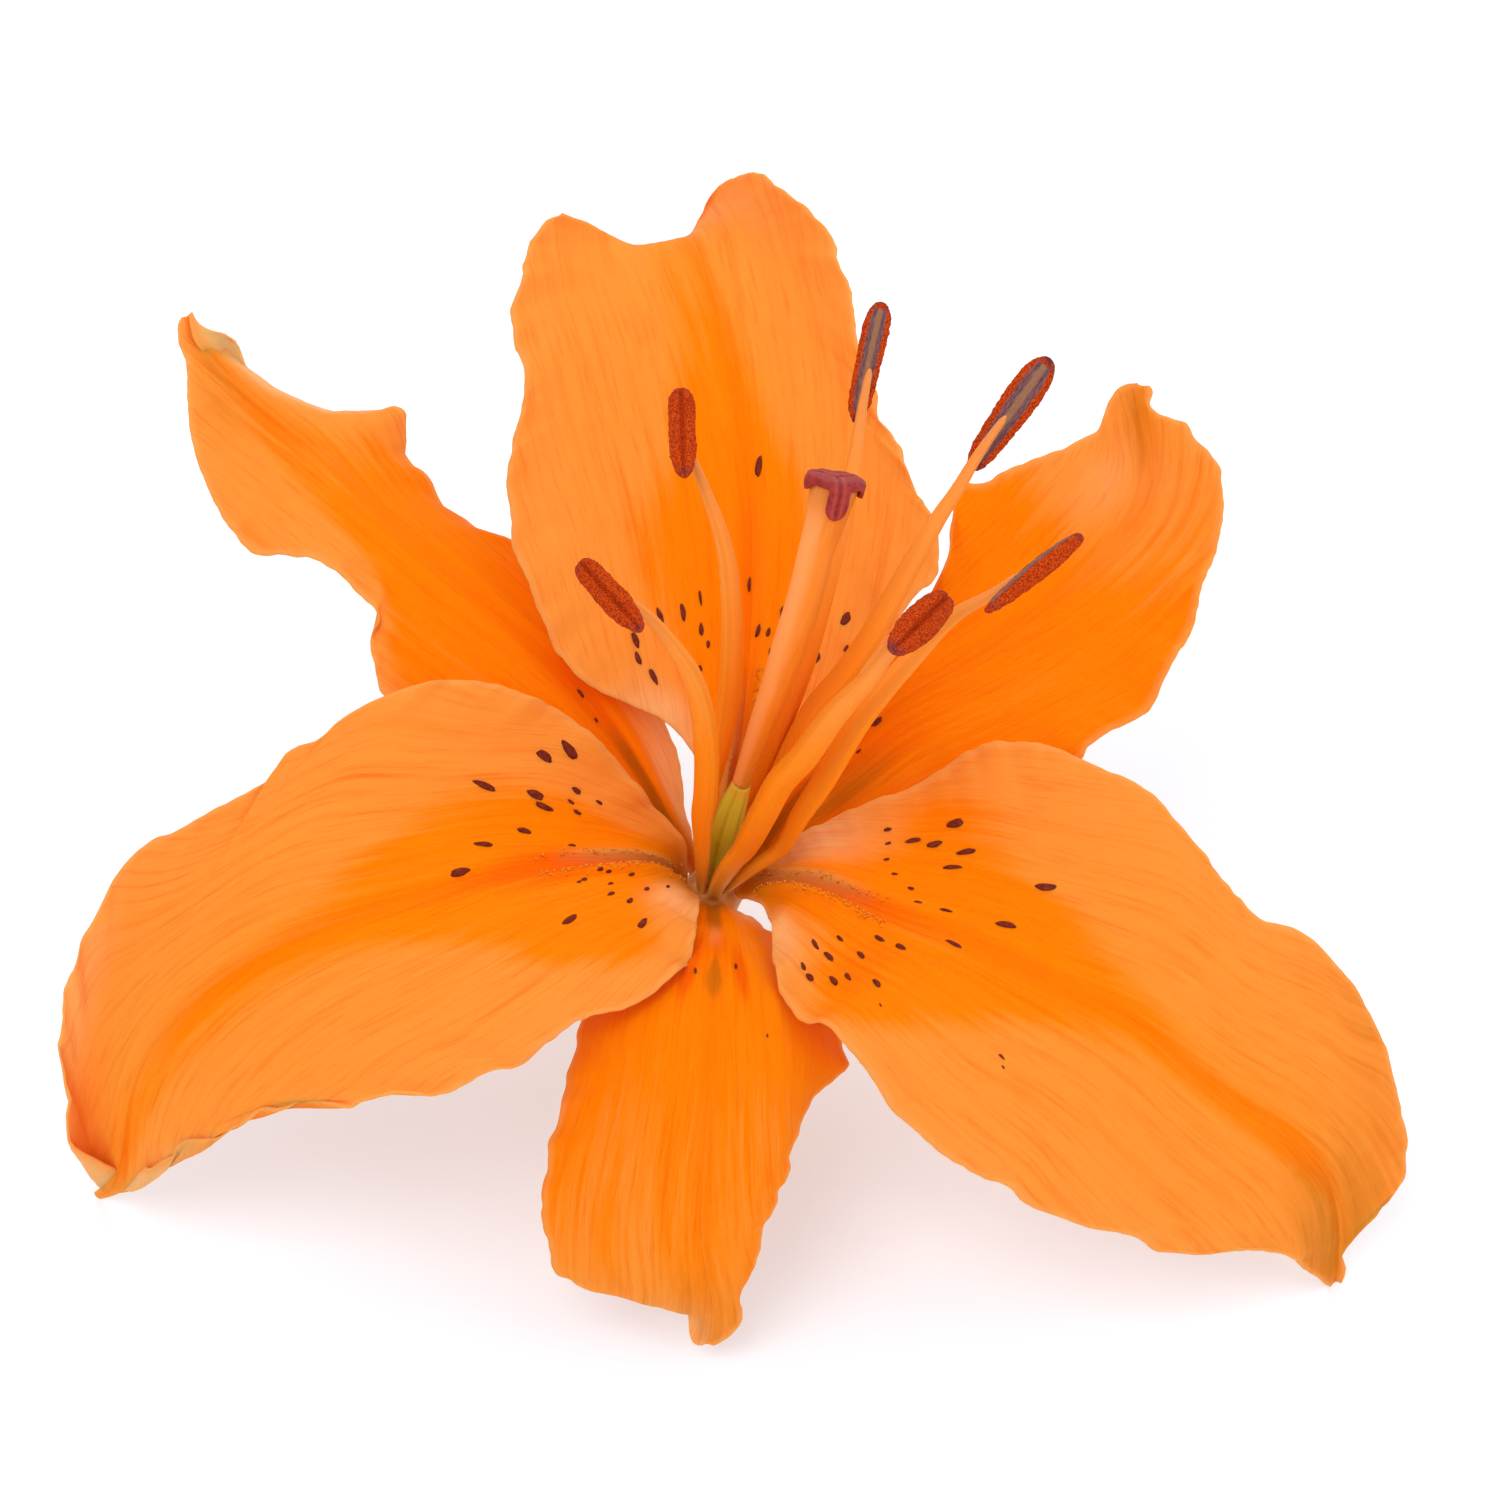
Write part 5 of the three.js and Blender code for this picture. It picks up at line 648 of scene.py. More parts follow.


# Colour zones of the inner faces. flame: rows (u, from v, to v, strength) of the deep orange area that frays
# along the veins; pale, deep and the olive-brown shade patches: soft patches (u, v, reach in u, reach in v, strength).
# The olive-brown patches are painted shade at the blade bases, under the stamens and at the curled tips; on the bottom
# sepal they also draw its real olive nectar drop.
ZONES = {
    "petal_lower_left": {
        "flame": [(0, -1.2, 1.2, 1), (0.06, -1.0, 0.8, 1), (0.10, -0.58, 0.48, 1), (0.17, -0.62, 0.66, 1), (0.23, -0.66, 0.92, 1), (0.30, -0.64, 0.72, 1),
                  (0.36, -0.60, 0.40, 1), (0.42, -0.55, 0.18, 0.95), (0.5, -0.16, 0.16, 0.65), (0.6, -0.07, 0.16, 0.62), (0.75, -0.08, 0.22, 0.5), (0.9, -0.14, 0.16, 0.5), (1, -0.1, 0.1, 0.3)],
        "pale": [(0.09, 0.8, 0.06, 0.35, 0.9), (0.90, 0.65, 0.07, 0.3, 0.9), (0.9, -0.9, 0.12, 0.35, 0.5)],
        "deep": [(0.20, 0.02, 0.09, 0.22, 0.85), (0.30, 0.0, 0.08, 0.10, 0.3), (0.86, 0.03, 0.10, 0.10, 0.4)],
        "shade_and_nectar_drop": [(0.03, 0.0, 0.06, 1.0, 0.3), (0.93, 0.05, 0.07, 0.3, 0.2)]},
    "petal_lower_right": {
        "flame": [(0, -1.2, 1.2, 1), (0.06, -0.9, 0.9, 1), (0.12, -0.55, 0.55, 1), (0.17, -0.38, 0.38, 1), (0.22, -0.5, 0.85, 1), (0.27, -0.92, 1.1, 1), (0.32, -0.86, 0.86, 1),
                  (0.38, -0.52, 0.44, 1), (0.44, -0.34, 0.20, 0.95), (0.5, -0.2, 0.13, 0.85), (0.6, -0.12, 0.10, 0.7), (0.8, -0.12, 0.12, 0.7), (0.9, -0.1, 0.1, 0.5), (1, -0.1, 0.1, 0.3)],
        "pale": [(0.12, -0.85, 0.09, 0.36, 1.3), (0.13, 0.85, 0.05, 0.25, 0.8)],
        "deep": [(0.20, 0.0, 0.11, 0.18, 0.7), (0.24, 0.5, 0.05, 0.25, 0.5), (0.86, 0.0, 0.12, 0.12, 0.5)],
        "shade_and_nectar_drop": [(0.10, 0.0, 0.10, 0.6, 0.38), (0.22, 0.0, 0.10, 0.12, 0.25), (0.94, 0.0, 0.17, 1.4, 0.66)]},
    "petal_top": {
        "flame": [(0, -1.2, 1.2, 1), (0.12, -1.1, 1.2, 1), (0.17, -0.92, 1.1, 1), (0.23, -0.76, 0.45, 1), (0.3, -0.62, 0.38, 1), (0.4, -0.58, 0.38, 1), (0.46, -0.42, 0.24, 1),
                  (0.5, -0.32, 0.10, 1), (0.6, -0.24, 0.07, 0.75), (0.75, -0.26, 0.03, 0.50), (0.86, -0.22, 0.04, 0.28), (1, -0.1, 0.1, 0.1)],
        "pale": [(0.23, -0.95, 0.07, 0.2, 0.9), (0.72, 0.6, 0.2, 0.5, 0.15), (0.9, 0.6, 0.08, 0.4, 0.5)],
        "deep": [(0.20, 0.0, 0.16, 0.22, 0.25), (0.32, 0.0, 0.12, 0.06, 0.35), (0.38, -0.55, 0.12, 0.10, 0.25)],
        "shade_and_nectar_drop": [(0.04, 0.0, 0.10, 0.9, 0.30), (0.15, -0.05, 0.09, 0.42, 0.62)]},
    "sepal_upper_left": {
        "flame": [(0, -1.2, 1.2, 1), (0.1, -0.65, 1.2, 1), (0.17, -0.42, 1.2, 1), (0.3, -0.42, 1.2, 1), (0.38, -0.62, 1.1, 1), (0.45, -0.9, 0.9, 1), (0.55, -1.2, 0.66, 1),
                  (0.64, -1.2, 0.6, 0.92), (0.68, -1.0, 0.45, 0.6), (0.72, -0.5, 0.38, 0.5), (0.76, -0.15, 0.35, 0.5), (0.85, -0.05, 0.35, 0.5), (1, 0, 0.2, 0.2)],
        "pale": [(0.16, -1.0, 0.09, 0.42, 2.0), (0.30, -0.95, 0.06, 0.35, 0.8), (0.82, -0.95, 0.05, 0.42, 1.7), (0.90, -0.55, 0.06, 0.5, 1.0)],
        "deep": [(0.25, 0.0, 0.12, 0.22, 0.75), (0.82, 0.12, 0.10, 0.25, 0.35)],
        "shade_and_nectar_drop": [(0.05, 0.0, 0.07, 0.8, 0.2), (0.22, 0.1, 0.10, 0.25, 0.30), (0.90, 0.35, 0.10, 0.5, 0.42)]},
    "sepal_upper_right": {
        "flame": [(0, -1.2, 1.2, 1), (0.6, -1.2, 1.2, 1), (0.64, -1.1, 1.2, 0.92), (0.70, -0.5, 1.2, 0.48), (0.76, -0.2, 1.2, 0.34), (0.85, -0.35, 1.2, 0.28), (1, -0.6, 1.2, 0.2)],
        "pale": [(0.78, -0.55, 0.10, 0.4, 0.5), (0.86, 0.2, 0.08, 0.5, 0.35)],
        "deep": [(0.22, 0.3, 0.12, 0.4, 0.55), (0.45, -0.05, 0.18, 0.15, 0.3), (0.4, 0.4, 0.15, 0.25, 0.3)],
        "shade_and_nectar_drop": [(0.10, 0.5, 0.12, 0.5, 0.35), (0.21, 0.50, 0.09, 0.26, 0.55), (0.97, 0.0, 0.14, 1.2, 0.5)]},
    "sepal_bottom": {
        "flame": [(0, -1.2, 1.2, 1), (0.42, -1.2, 1.2, 1), (0.48, -1.0, 1.2, 0.95), (0.54, -1.2, 1.2, 0.86), (0.6, -1.2, 1.2, 0.68), (0.7, -1.2, 1.2, 0.6), (0.8, -1.2, 1.2, 0.52), (0.88, -1.0, 1.1, 0.42), (1, -0.5, 0.5, 0.2)],
        "pale": [(0.98, -0.5, 0.09, 0.8, 0.7), (0.12, 0.9, 0.06, 0.4, 0.9), (0.22, 0.0, 0.06, 0.14, 0.55)],
        "deep": [(0.28, 0.0, 0.10, 0.35, 0.5), (0.345, 0.24, 0.07, 0.07, 0.9), (0.345, -0.24, 0.07, 0.07, 0.9), (0.72, 0.62, 0.12, 0.12, 0.35), (0.66, -0.25, 0.12, 0.07, 0.3)],
        "shade_and_nectar_drop": [(0.05, 0.0, 0.10, 0.9, 0.35), (0.16, 0.0, 0.08, 0.35, 0.22), (0.366, 0.0, 0.034, 0.085, 1.0), (0.335, 0.0, 0.04, 0.045, 0.9), (0.97, 0.0, 0.16, 1.2, 0.45)]},
}


def ease(x):
    x = np.clip(x, 0, 1)
    return x * x * (3 - 2 * x)


def soft_zone(rows, U, V):
    """Share of the deep orange area at (u, v): the rows joined up, then blurred along and across the blade."""
    gu, gv = np.linspace(0, 1, 161), np.linspace(-1.2, 1.2, 121)
    GU, GV = np.meshgrid(gu, gv, indexing="ij")
    fr = np.array(rows, float)
    lo, hi, strength = (np.interp(GU, fr[:, 0], fr[:, k]) for k in (1, 2, 3))
    soft = np.clip((hi - lo) * 0.45, 0.08, 0.26)
    m = strength * ease((GV - lo) / soft + 0.5) * ease((hi - GV) / soft + 0.5)
    for axis, sigma in ((0, 4.6), (1, 2.6)):
        n = int(3 * sigma)
        k = np.exp(-0.5 * (np.arange(-n, n + 1) / sigma) ** 2)
        k /= k.sum()
        pad = np.pad(m, [(n, n) if a_ == axis else (0, 0) for a_ in (0, 1)], mode="edge")
        m = sum(w_ * np.take(pad, np.arange(j, j + m.shape[axis]), axis=axis) for j, w_ in enumerate(k))
    i, j = np.clip(U, 0, 1) * 160, (np.clip(V, -1.2, 1.2) + 1.2) / 2.4 * 120
    i0, j0 = np.minimum(i.astype(int), 159), np.minimum(j.astype(int), 119)
    fi, fj = i - i0, j - j0
    return (m[i0, j0] * (1 - fi) * (1 - fj) + m[i0 + 1, j0] * fi * (1 - fj) + m[i0, j0 + 1] * (1 - fi) * fj + m[i0 + 1, j0 + 1] * fi * fj)


def build_tepal(name, t, index):
    inner = name.startswith("petal")
    rng = np.random.default_rng(1000 + index)
    thick = 0.9 if inner else 0.8
    NU, NV = ((230, 124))
    if not inner:
        NU, NV = ((210, 96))
    s = np.linspace(0, 1, NU + 1)
    u1 = 1 - (1 - s) ** 1.12
    a = np.linspace(-1, 1, NV + 1)
    v1 = np.sign(a) * (0.75 * np.abs(a) + 0.25 * np.abs(a) ** 2.0)
    v1 = v1 / np.abs(v1).max()
    U, V = np.meshgrid(u1, v1, indexing="ij")
    S = tepal_surface(t, name)
    P = S(U, V)
    e = 0.004
    du = S(np.minimum(1, U + e), V) - S(np.maximum(0, U - e), V)
    dv = S(U, np.minimum(1, V + 0.03)) - S(U, np.maximum(-1, V - 0.03))
    n = norm(np.cross(du, dv)) * t["out"]
    across = norm(dv)
    # distances in mm: from the midrib and from the nearer margin, measured over the blade
    mid = NV // 2
    step = np.linalg.norm(np.diff(P, axis=1), axis=2)
    cum = np.concatenate([np.zeros((NU + 1, 1)), np.cumsum(step, axis=1)], axis=1)
    rib = np.abs(cum - cum[:, mid:mid + 1])
    marg = np.where(V < 0, cum, cum[:, -1:] - cum)
    ulen = np.concatenate([[0], np.cumsum(np.linalg.norm(np.diff(P[:, mid], axis=0), axis=1))])
    length = ulen[-1]
    along = np.repeat(ulen[:, None], NV + 1, 1)
    endfade = np.clip(U / 0.10, 0, 1) * np.clip((1 - U) / 0.035, 0, 1)
    tipfade = np.clip((1 - U) / 0.08, 0, 1)
    # q: lines of constant q are the slanting veins, laid out in true millimetres along and across the midrib
    M_ = P[:, mid]
    T_ = norm(np.gradient(M_, axis=0))
    rel = P - M_[:, None]
    L_ = along + (rel * T_[:, None]).sum(-1) * 0.9
    W_ = np.sqrt(np.maximum((rel ** 2).sum(-1) - ((rel * T_[:, None]).sum(-1)) ** 2, 0))
    q = W_ / (1.02 - np.exp(-np.maximum(L_ + 2.0, 0.5) / 24.0)) / length - 0.05 * L_ / length
    lane = L_ / length
    halfw = np.where(V < 0, cum[:, mid:mid + 1], cum[:, -1:] - cum[:, mid:mid + 1])
    # margin crinkle, in and out of the blade's plane
    d = np.zeros_like(U)
    shift = np.zeros_like(U)
    for sgn in (-1, 1):
        edge = P[:, 0] if sgn < 0 else P[:, -1]
        el = np.concatenate([[0], np.cumsum(np.linalg.norm(np.diff(edge, axis=0), axis=1))])
        ww = waves(rng, length, [(13, 0.50), (7.5, 0.36), (4.3, 0.18), (2.4, 0.07)])
        w2 = waves(rng, length, [(4.6, 0.10), (2.1, 0.08)])
        sel = (V < 0) if sgn < 0 else (V >= 0)
        fall = np.exp(-marg / (4.5 if inner else 3.4))
        d = np.where(sel, d + ww(el)[:, None] * fall, d)
        shift = np.where(sel, sgn * w2(el)[:, None] * np.exp(-marg / 2.0), shift)
    d *= endfade * np.clip(halfw / 8, 0, 1)
    shift *= endfade * np.clip(halfw / 8, 0, 1)
    shift = np.where(shift * np.sign(V) > 0, shift * 0.5, shift)
    # gentle puckering between the main veins
    spacing = 5.2 if inner else 4.6
    ridge = np.cos(2 * math.pi * q * length / spacing + 0.8 * np.sin(5 * np.abs(V) + 3 * U))
    vein_h = 0.05 * ridge * np.clip(rib / 3, 0, 1) * np.clip(marg / 3, 0, 1) * endfade
    cross = np.cos(2 * math.pi * q * length / 1.45 + 1.3 * np.sin(7 * np.abs(V)))
    vein_f = 0.014 * cross * np.clip(rib / 2, 0, 1) * endfade
    d = d + vein_h
    P = P + n * d[..., None] + across * shift[..., None]
    # blade thickness
    h = 0.5 * thick * (0.32 + 0.68 * np.minimum(np.clip(marg / 3.5, 0, 1), np.clip((1 - U) / 0.06, 0, 1)))
    fur_w = 1.25 if inner else 1.1
    furrow = (0.22 if inner else 0.18) * np.exp(-(rib / fur_w) ** 2) * tipfade * np.clip((U - 0.0) / 0.05, 0.4, 1)
    shoulder = 0.30 * np.exp(-((rib - 2.3) / 1.1) ** 2) * np.clip((0.62 - U) / 0.35, 0, 1) * np.clip(halfw / 5, 0, 1)
    keel = (0.42 if inner else 0.34) * np.exp(-(rib / 1.5) ** 2) * np.clip((1 - U) / 0.5, 0.15, 1) * np.clip(halfw / 3, 0, 1)
    nect = 0.0
    if inner:
        bank = np.where(V < 0, 0.55 * np.exp(-((rib - 1.5) / 0.95) ** 2), 0.85 * np.exp(-(np.abs(rib - 1.9) / 0.8) ** 4))
        shoulder = shoulder + bank * np.clip((U - 0.03) / 0.05, 0, 1) * np.clip((0.23 - U) / 0.10, 0, 1) * np.clip(halfw / 5, 0, 1)
        nect = 0.45 * np.exp(-(rib / 1.0) ** 2) * np.clip((U - 0.03) / 0.04, 0, 1) * np.clip((0.22 - U) / 0.06, 0, 1) * np.clip(halfw / 5, 0, 1)
    top = P + n * (h - np.minimum(furrow + nect, h * 1.5) + shoulder + vein_f)[..., None]
    bot = P - n * (h + keel + vein_f)[..., None]
    nvert = (NU + 1) * (NV + 1)
    verts = np.concatenate([top.reshape(-1, 3), bot.reshape(-1, 3)])
    # a quad (a, c, d, b) on the top grid faces along du x dv
    out_flip = t["out"] > 0
    f_top = grid_faces(NU + 1, NV + 1, 0, flip=not out_flip)
    f_bot = grid_faces(NU + 1, NV + 1, nvert, flip=out_flip)
    idx = np.arange(nvert).reshape(NU + 1, NV + 1)
    loop = np.concatenate([idx[0, :-1], idx[:-1, -1], idx[-1, :0:-1], idx[:0:-1, 0]])
    nxt = np.roll(loop, -1)
    rim = np.stack([loop, nxt, nxt + nvert, loop + nvert], -1)
    if not out_flip:
        rim = rim[:, ::-1]
    faces = np.concatenate([f_top, f_bot, rim])
    matidx = np.zeros(len(faces), np.int32)
    attrs = {
        "along": np.tile(U.ravel(), 2), "across": np.tile(np.abs(V).ravel(), 2), "vein": np.tile(q.ravel(), 2), "lane": np.tile(lane.ravel(), 2),
        "side": np.tile((np.sign(V) * 0.5 + index * 3.1).ravel(), 2), "rib": np.tile(rib.ravel(), 2),
        "marg": np.tile(marg.ravel(), 2), "face": np.concatenate([np.ones(nvert), np.exp(-(marg / 1.6) ** 2).ravel()]),
    }
    Z = ZONES[name]
    flame = soft_zone(Z["flame"], U, V)
    pale, deep, shade_and_nectar_drop = np.zeros_like(U), np.zeros_like(U), np.zeros_like(U)
    for arr, key in ((pale, "pale"), (deep, "deep"), (shade_and_nectar_drop, "shade_and_nectar_drop")):
        for u0, v0, su, sv, k in Z[key]:
            arr += k * np.exp(-((U - u0) / su) ** 2 - ((V - v0) / sv) ** 2)
    for key, arr in (("band", flame), ("pale", pale), ("deep", deep), ("shade_and_nectar_drop", shade_and_nectar_drop)):
        attrs[key] = np.tile(arr.ravel(), 2)
    attrs["nectar"] = np.tile((np.exp(-((rib * np.sign(V) + 1.35) / 1.15) ** 2) * np.clip((U - 0.02) / 0.03, 0, 1) * np.clip((0.215 - U) / 0.07, 0, 1)).ravel(), 2)
    uv = np.tile(np.stack([U.ravel(), (V.ravel() + 1) / 2], -1), (2, 1))
    # raised spots: low irregular domes set into the inner face
    extra_v, extra_f = [], []
    base = len(verts)
    topg = top

    def sample(G, uu, vv):
        i = np.interp(uu, u1, np.arange(NU + 1))
        j = np.interp(vv, v1, np.arange(NV + 1))
        i0, j0 = np.clip(int(i), 0, NU - 1), np.clip(int(j), 0, NV - 1)
        fi, fj = i - i0, j - j0
        return (G[i0, j0] * (1 - fi) * (1 - fj) + G[i0 + 1, j0] * fi * (1 - fj) + G[i0, j0 + 1] * (1 - fi) * fj + G[i0 + 1, j0 + 1] * fi * fj)

    def dome(uu, vv, ln, wd, height, rings=4, around=14, sink=0.12):
        nonlocal base
        c = sample(topg, uu, vv)
        nn = sample(n, uu, vv)
        nn = nn / np.linalg.norm(nn)
        # along the local vein, which fans out from the base
        p2 = 2 * c - topg[2, mid]
        tu = p2 - c
        tu -= nn * (tu @ nn)
        tu /= np.linalg.norm(tu) + 1e-9
        tv = np.cross(nn, tu)
        ph = rng.uniform(0, 6.283, 3)
        vs = []
        for r in range(1, rings + 1):
            rr = r / rings
            for k in range(around):
                a_ = 2 * math.pi * k / around
                wob = 1 + 0.10 * math.sin(2 * a_ + ph[0]) + 0.07 * math.sin(3 * a_ + ph[1]) + 0.05 * math.sin(5 * a_ + ph[2])
                x, y = 0.5 * ln * rr * math.cos(a_) * wob, 0.5 * wd * rr * math.sin(a_) * wob
                z = height * math.sqrt(max(0.0, 1 - rr ** 2.4)) - (sink if r == rings else 0)
                vs.append(c + tu * x + tv * y + nn * z)
        vs.append(c + nn * height)
        vs.append(c - nn * (sink + 0.05))
        b = base
        apex, bottom = b + rings * around, b + rings * around + 1
        for k in range(around):
            k2 = (k + 1) % around
            extra_f.append((apex, b + k, b + k2))
            for r in range(rings - 1):
                o, o2 = b + r * around, b + (r + 1) * around
                extra_f.append((o + k, o2 + k, o2 + k2, o + k2))
            o = b + (rings - 1) * around
            extra_f.append((bottom, o + k2, o + k))
        extra_v.extend(vs)
        base += len(vs)

    for (su, sv, ln, wd) in SPOTS.get(name, []):
        dome(su, sv, ln * 1.16, min(wd * 0.84, ln * 0.54), 0.12 + 0.04 * min(ln, 3))
    n_spot_faces = len(extra_f)
    # papillae: a fringe of soft warts along both sides of the nectar furrow
    if inner:
        for k in range(170):
            pu = rng.uniform(0.035, 0.23)
            off = rng.choice([-1, 1, 1, 1]) * (1.1 + 0.5 * rng.random() + 1.3 * rng.random() ** 3)
            hw = np.interp(pu, u1, cum[:, mid]) if off < 0 else np.interp(pu, u1, cum[:, -1] - cum[:, mid])
            if abs(off) > hw * 0.8:
                continue
            r = rng.uniform(0.13, 0.26)
            # v whose distance from the midrib is |off|
            row = int(np.clip(np.interp(pu, u1, np.arange(NU + 1)), 0, NU))
            half = rib[row, :mid + 1][::-1] if off < 0 else rib[row, mid:]
            vs_ = v1[:mid + 1][::-1] if off < 0 else v1[mid:]
            vv = float(np.interp(abs(off), half, vs_))
            dome(pu, vv, r * 1.7, r, 0.14 + 0.26 * rng.random(), rings=3, around=8, sink=0.1)
    if extra_v:
        ev = np.array(extra_v)
        verts = np.concatenate([verts, ev])
        k = len(ev)
        # papillae and spots get fixed attribute values from near the midrib base; spots take the spot material and
        # papillae the nectar papilla material
        for key in attrs:
            attrs[key] = np.concatenate([attrs[key], np.full(k, {"band": 0.5, "pale": 0.0, "deep": 0.2, "shade_and_nectar_drop": 0.0, "lane": 0.1, "along": 0.16, "across": 0.12, "vein": 0.1, "side": 0.3, "rib": 3.0, "marg": 9.0, "face": 1.0, "nectar": 0.0}[key])])
        uv = np.concatenate([uv, np.tile([[0.15, 0.5]], (k, 1))])
        faces = [tuple(f) for f in faces.tolist()] + extra_f
        matidx = np.concatenate([matidx, np.ones(n_spot_faces, np.int32), np.full(len(extra_f) - n_spot_faces, 2, np.int32)])
    else:
        faces = [tuple(f) for f in faces.tolist()]
    ob = make_object(name + "_blade", verts, faces, attrs, uv, matidx,
                     (MAT_PETAL if inner else MAT_SEPAL, MAT_SPOT, MAT_PAPILLA))
    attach(ob, "root")
    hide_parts(name)
    return ob


MAT_PAPILLA = simple_material(
    "nectar_papilla", lambda N, p: N.ramp(N.noise(p, 1800.0, 2.0), [(0.3, lin(238, 122, 16)), (0.7, lin(248, 150, 50))]),
    0.45, 0.12, 0.4, bump_fn=lambda N, p: N.bump(N.noise(p, 3500.0, 2.0), 0.0001, 0.4))

for i, (nm, t) in enumerate(TEPALS.items()):
    build_tepal(nm, t, i)


# ---------------------------------------------------------------- swept organs
AXIS = norm(np.array(BLOOM_AXIS))
UP = norm(np.array([0, 1, 0]) - AXIS * AXIS[1])
ACROSS = np.cross(UP, AXIS)


def sweep(name, path, rings, around, side0, section, materials, extra=None, caps=True, offset=None):
    """Tube along a path. section(s, angles) -> (a, b) arrays; offset(s) -> centre shift; extra(s, angles) -> attributes."""
    P = np.array(path, float)
    seg = np.concatenate([[0], np.cumsum(np.linalg.norm(np.diff(P, axis=0), axis=1))])
    f = pchip(np.column_stack([seg, P]))
    total = seg[-1]
    at = lambda s: f(np.array([s * total]))[0]
    ang = np.linspace(0, 2 * math.pi, around, endpoint=False)
    side = np.array(side0, float)
    verts, attrs = [], {"s": [], "ang": []}
    for s in rings:
        T = norm(at(min(1, s + 0.01)) - at(max(0, s - 0.01)))
        side = norm(side - T * (side @ T))
        face = np.cross(T, side)
        C = at(s) + (offset(s, T, side, face) if offset else 0)
        a, b = section(s, ang)
        verts.append(C + np.outer(a, side) + np.outer(b, face))
        attrs["s"].append(np.full(around, s))
        attrs["ang"].append(ang)
        if extra:
            for k, val in extra(s, ang).items():
                attrs.setdefault(k, []).append(val)
    n = len(rings)
    V = np.concatenate(verts)
    A = {k: np.concatenate(v) for k, v in attrs.items()}
    faces = grid_faces(n, around, 0, flip=True, wrap=True).tolist()
    c0, c1 = V[:around].mean(0), V[-around:].mean(0)
    V = np.concatenate([V, [c0, c1]])
    for k in A:
        A[k] = np.concatenate([A[k], [A[k][:around].mean(), A[k][-around:].mean()]])
    i0, i1 = n * around, n * around + 1
    o = (n - 1) * around
    for k in range(around):
        k2 = (k + 1) % around
        faces.append((i0, k2, k))
        faces.append((i1, o + k, o + k2))
    return V, faces, A


def fix_outward(V, faces):
    vol = 0.0
    for f in faces:
        for k in range(1, len(f) - 1):
            a, b, c = V[f[0]], V[f[k]], V[f[k + 1]]
            vol += np.dot(a, np.cross(b, c))
    return faces if vol > 0 else [tuple(reversed(f)) for f in faces]


def filament_colour(N, pos):
    s = N.attr("s")
    c = N.ramp(s, [(0.0, lin(206, 154, 48)), (0.10, lin(232, 150, 36)), (0.22, lin(244, 144, 20)), (0.5, lin(247, 141, 24)), (0.8, lin(246, 148, 56)), (1.0, lin(228, 140, 72))])
    streak = N.noise(N.combine(N.math("MULTIPLY", N.attr("ang"), 2.4), N.math("MULTIPLY", s, 5.0), 0.0), 1.6, 3.0)
    c = N.mixc(N.smooth(streak, 0.5, 0.75, 0.0, 0.4), c, lin(252, 154, 44))
    # painted shade: darker along both edges of the flat filament
    c = N.mixc(N.smooth(N.math("ABSOLUTE", N.math("COSINE", N.attr("ang"))), 0.80, 0.99, 0.0, 0.42), c, lin(222, 124, 14))
    return N.mixc(N.smooth(streak, 0.45, 0.25, 0.0, 0.3), c, lin(236, 116, 4))


def fine_bump(scale, dist, strength=0.5):
    return lambda N, p: N.bump(N.noise(p, scale, 3.0), dist, strength)


MAT_FIL = simple_material("filament_skin", filament_colour, 0.42, 0.14, 0.35, bump_fn=fine_bump(2200.0, 0.00012))


def lerp(a, b, s):
    return a + (b - a) * min(1.0, max(0.0, s))


fil_width, fil_flat = pchip(FILAMENT_HALF_WIDTHS), pchip(FILAMENT_FLATNESS)


def build_filament(nm, st):
    az = math.radians(st["azimuth"])
    tangent = UP * math.cos(az) - ACROSS * math.sin(az)
    rings = np.concatenate([[0, 0.008, 0.02], np.linspace(0.035, 0.975, 64), [0.988, 0.996, 1.0]])

    def section(s, a):
        wide = float(fil_width(np.array([s]))[0, 0]) * st["share"]
        end = 1.0 if s < 0.985 else math.sqrt(max(0.15, 1 - ((s - 0.985) / 0.0152) ** 2))
        keel = 0.97 + 0.03 * np.cos(3 * a)
        return wide * end * np.cos(a) * keel, wide * float(fil_flat(np.array([s]))[0, 0]) * end * np.sin(a) * keel
    V, F, A = sweep(nm, st["path"], rings, 20, tangent, section, None)
    ob = make_object("filament_" + nm + "_stalk", V, fix_outward(V, F), A, None, None, (MAT_FIL,))
    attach(ob, "root")
    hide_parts("filament_" + nm)


def anther_colour(N, pos):
    back = N.attr("back")
    grain = N.n("ShaderNodeTexVoronoi", feature="F1")
    N.link(pos, grain.inputs["Vector"])
    grain.inputs["Scale"].default_value = 4600.0
    g = grain.outputs["Distance"]
    pollen = N.ramp(g, [(0.0, lin(236, 104, 36)), (0.30, lin(216, 77, 15)), (0.75, lin(154, 45, 8))])
    mott = N.noise(pos, 700.0, 3.0)
    pollen = N.mixc(N.smooth(mott, 0.42, 0.7, 0.0, 0.45), pollen, lin(176, 50, 10))
    tips = N.smooth(N.math("ABSOLUTE", N.math("SUBTRACT", N.attr("s"), 0.5)), 0.36, 0.5)
    pollen = N.mixc(N.math("MULTIPLY", tips, N.smooth(mott, 0.62, 0.38)), pollen, lin(104, 50, 58))
    wall = N.ramp(N.noise(N.combine(N.math("MULTIPLY", N.attr("ang"), 5.0), N.math("MULTIPLY", N.attr("s"), 7.0), 0.0), 2.0, 4.0),
                  [(0.35, lin(98, 62, 72)), (0.55, lin(128, 88, 92)), (0.72, lin(160, 116, 104))])
    conn = N.smooth(N.attr("rib"), 0.34, 0.08)
    wall = N.mixc(N.math("MULTIPLY", conn, 0.7), wall, lin(170, 122, 78))
    crust = N.smooth(N.math("ADD", back, N.math("MULTIPLY", N.math("SUBTRACT", mott, 0.5), 0.5)), 0.62, 0.80)
    return N.mixc(crust, pollen, wall)


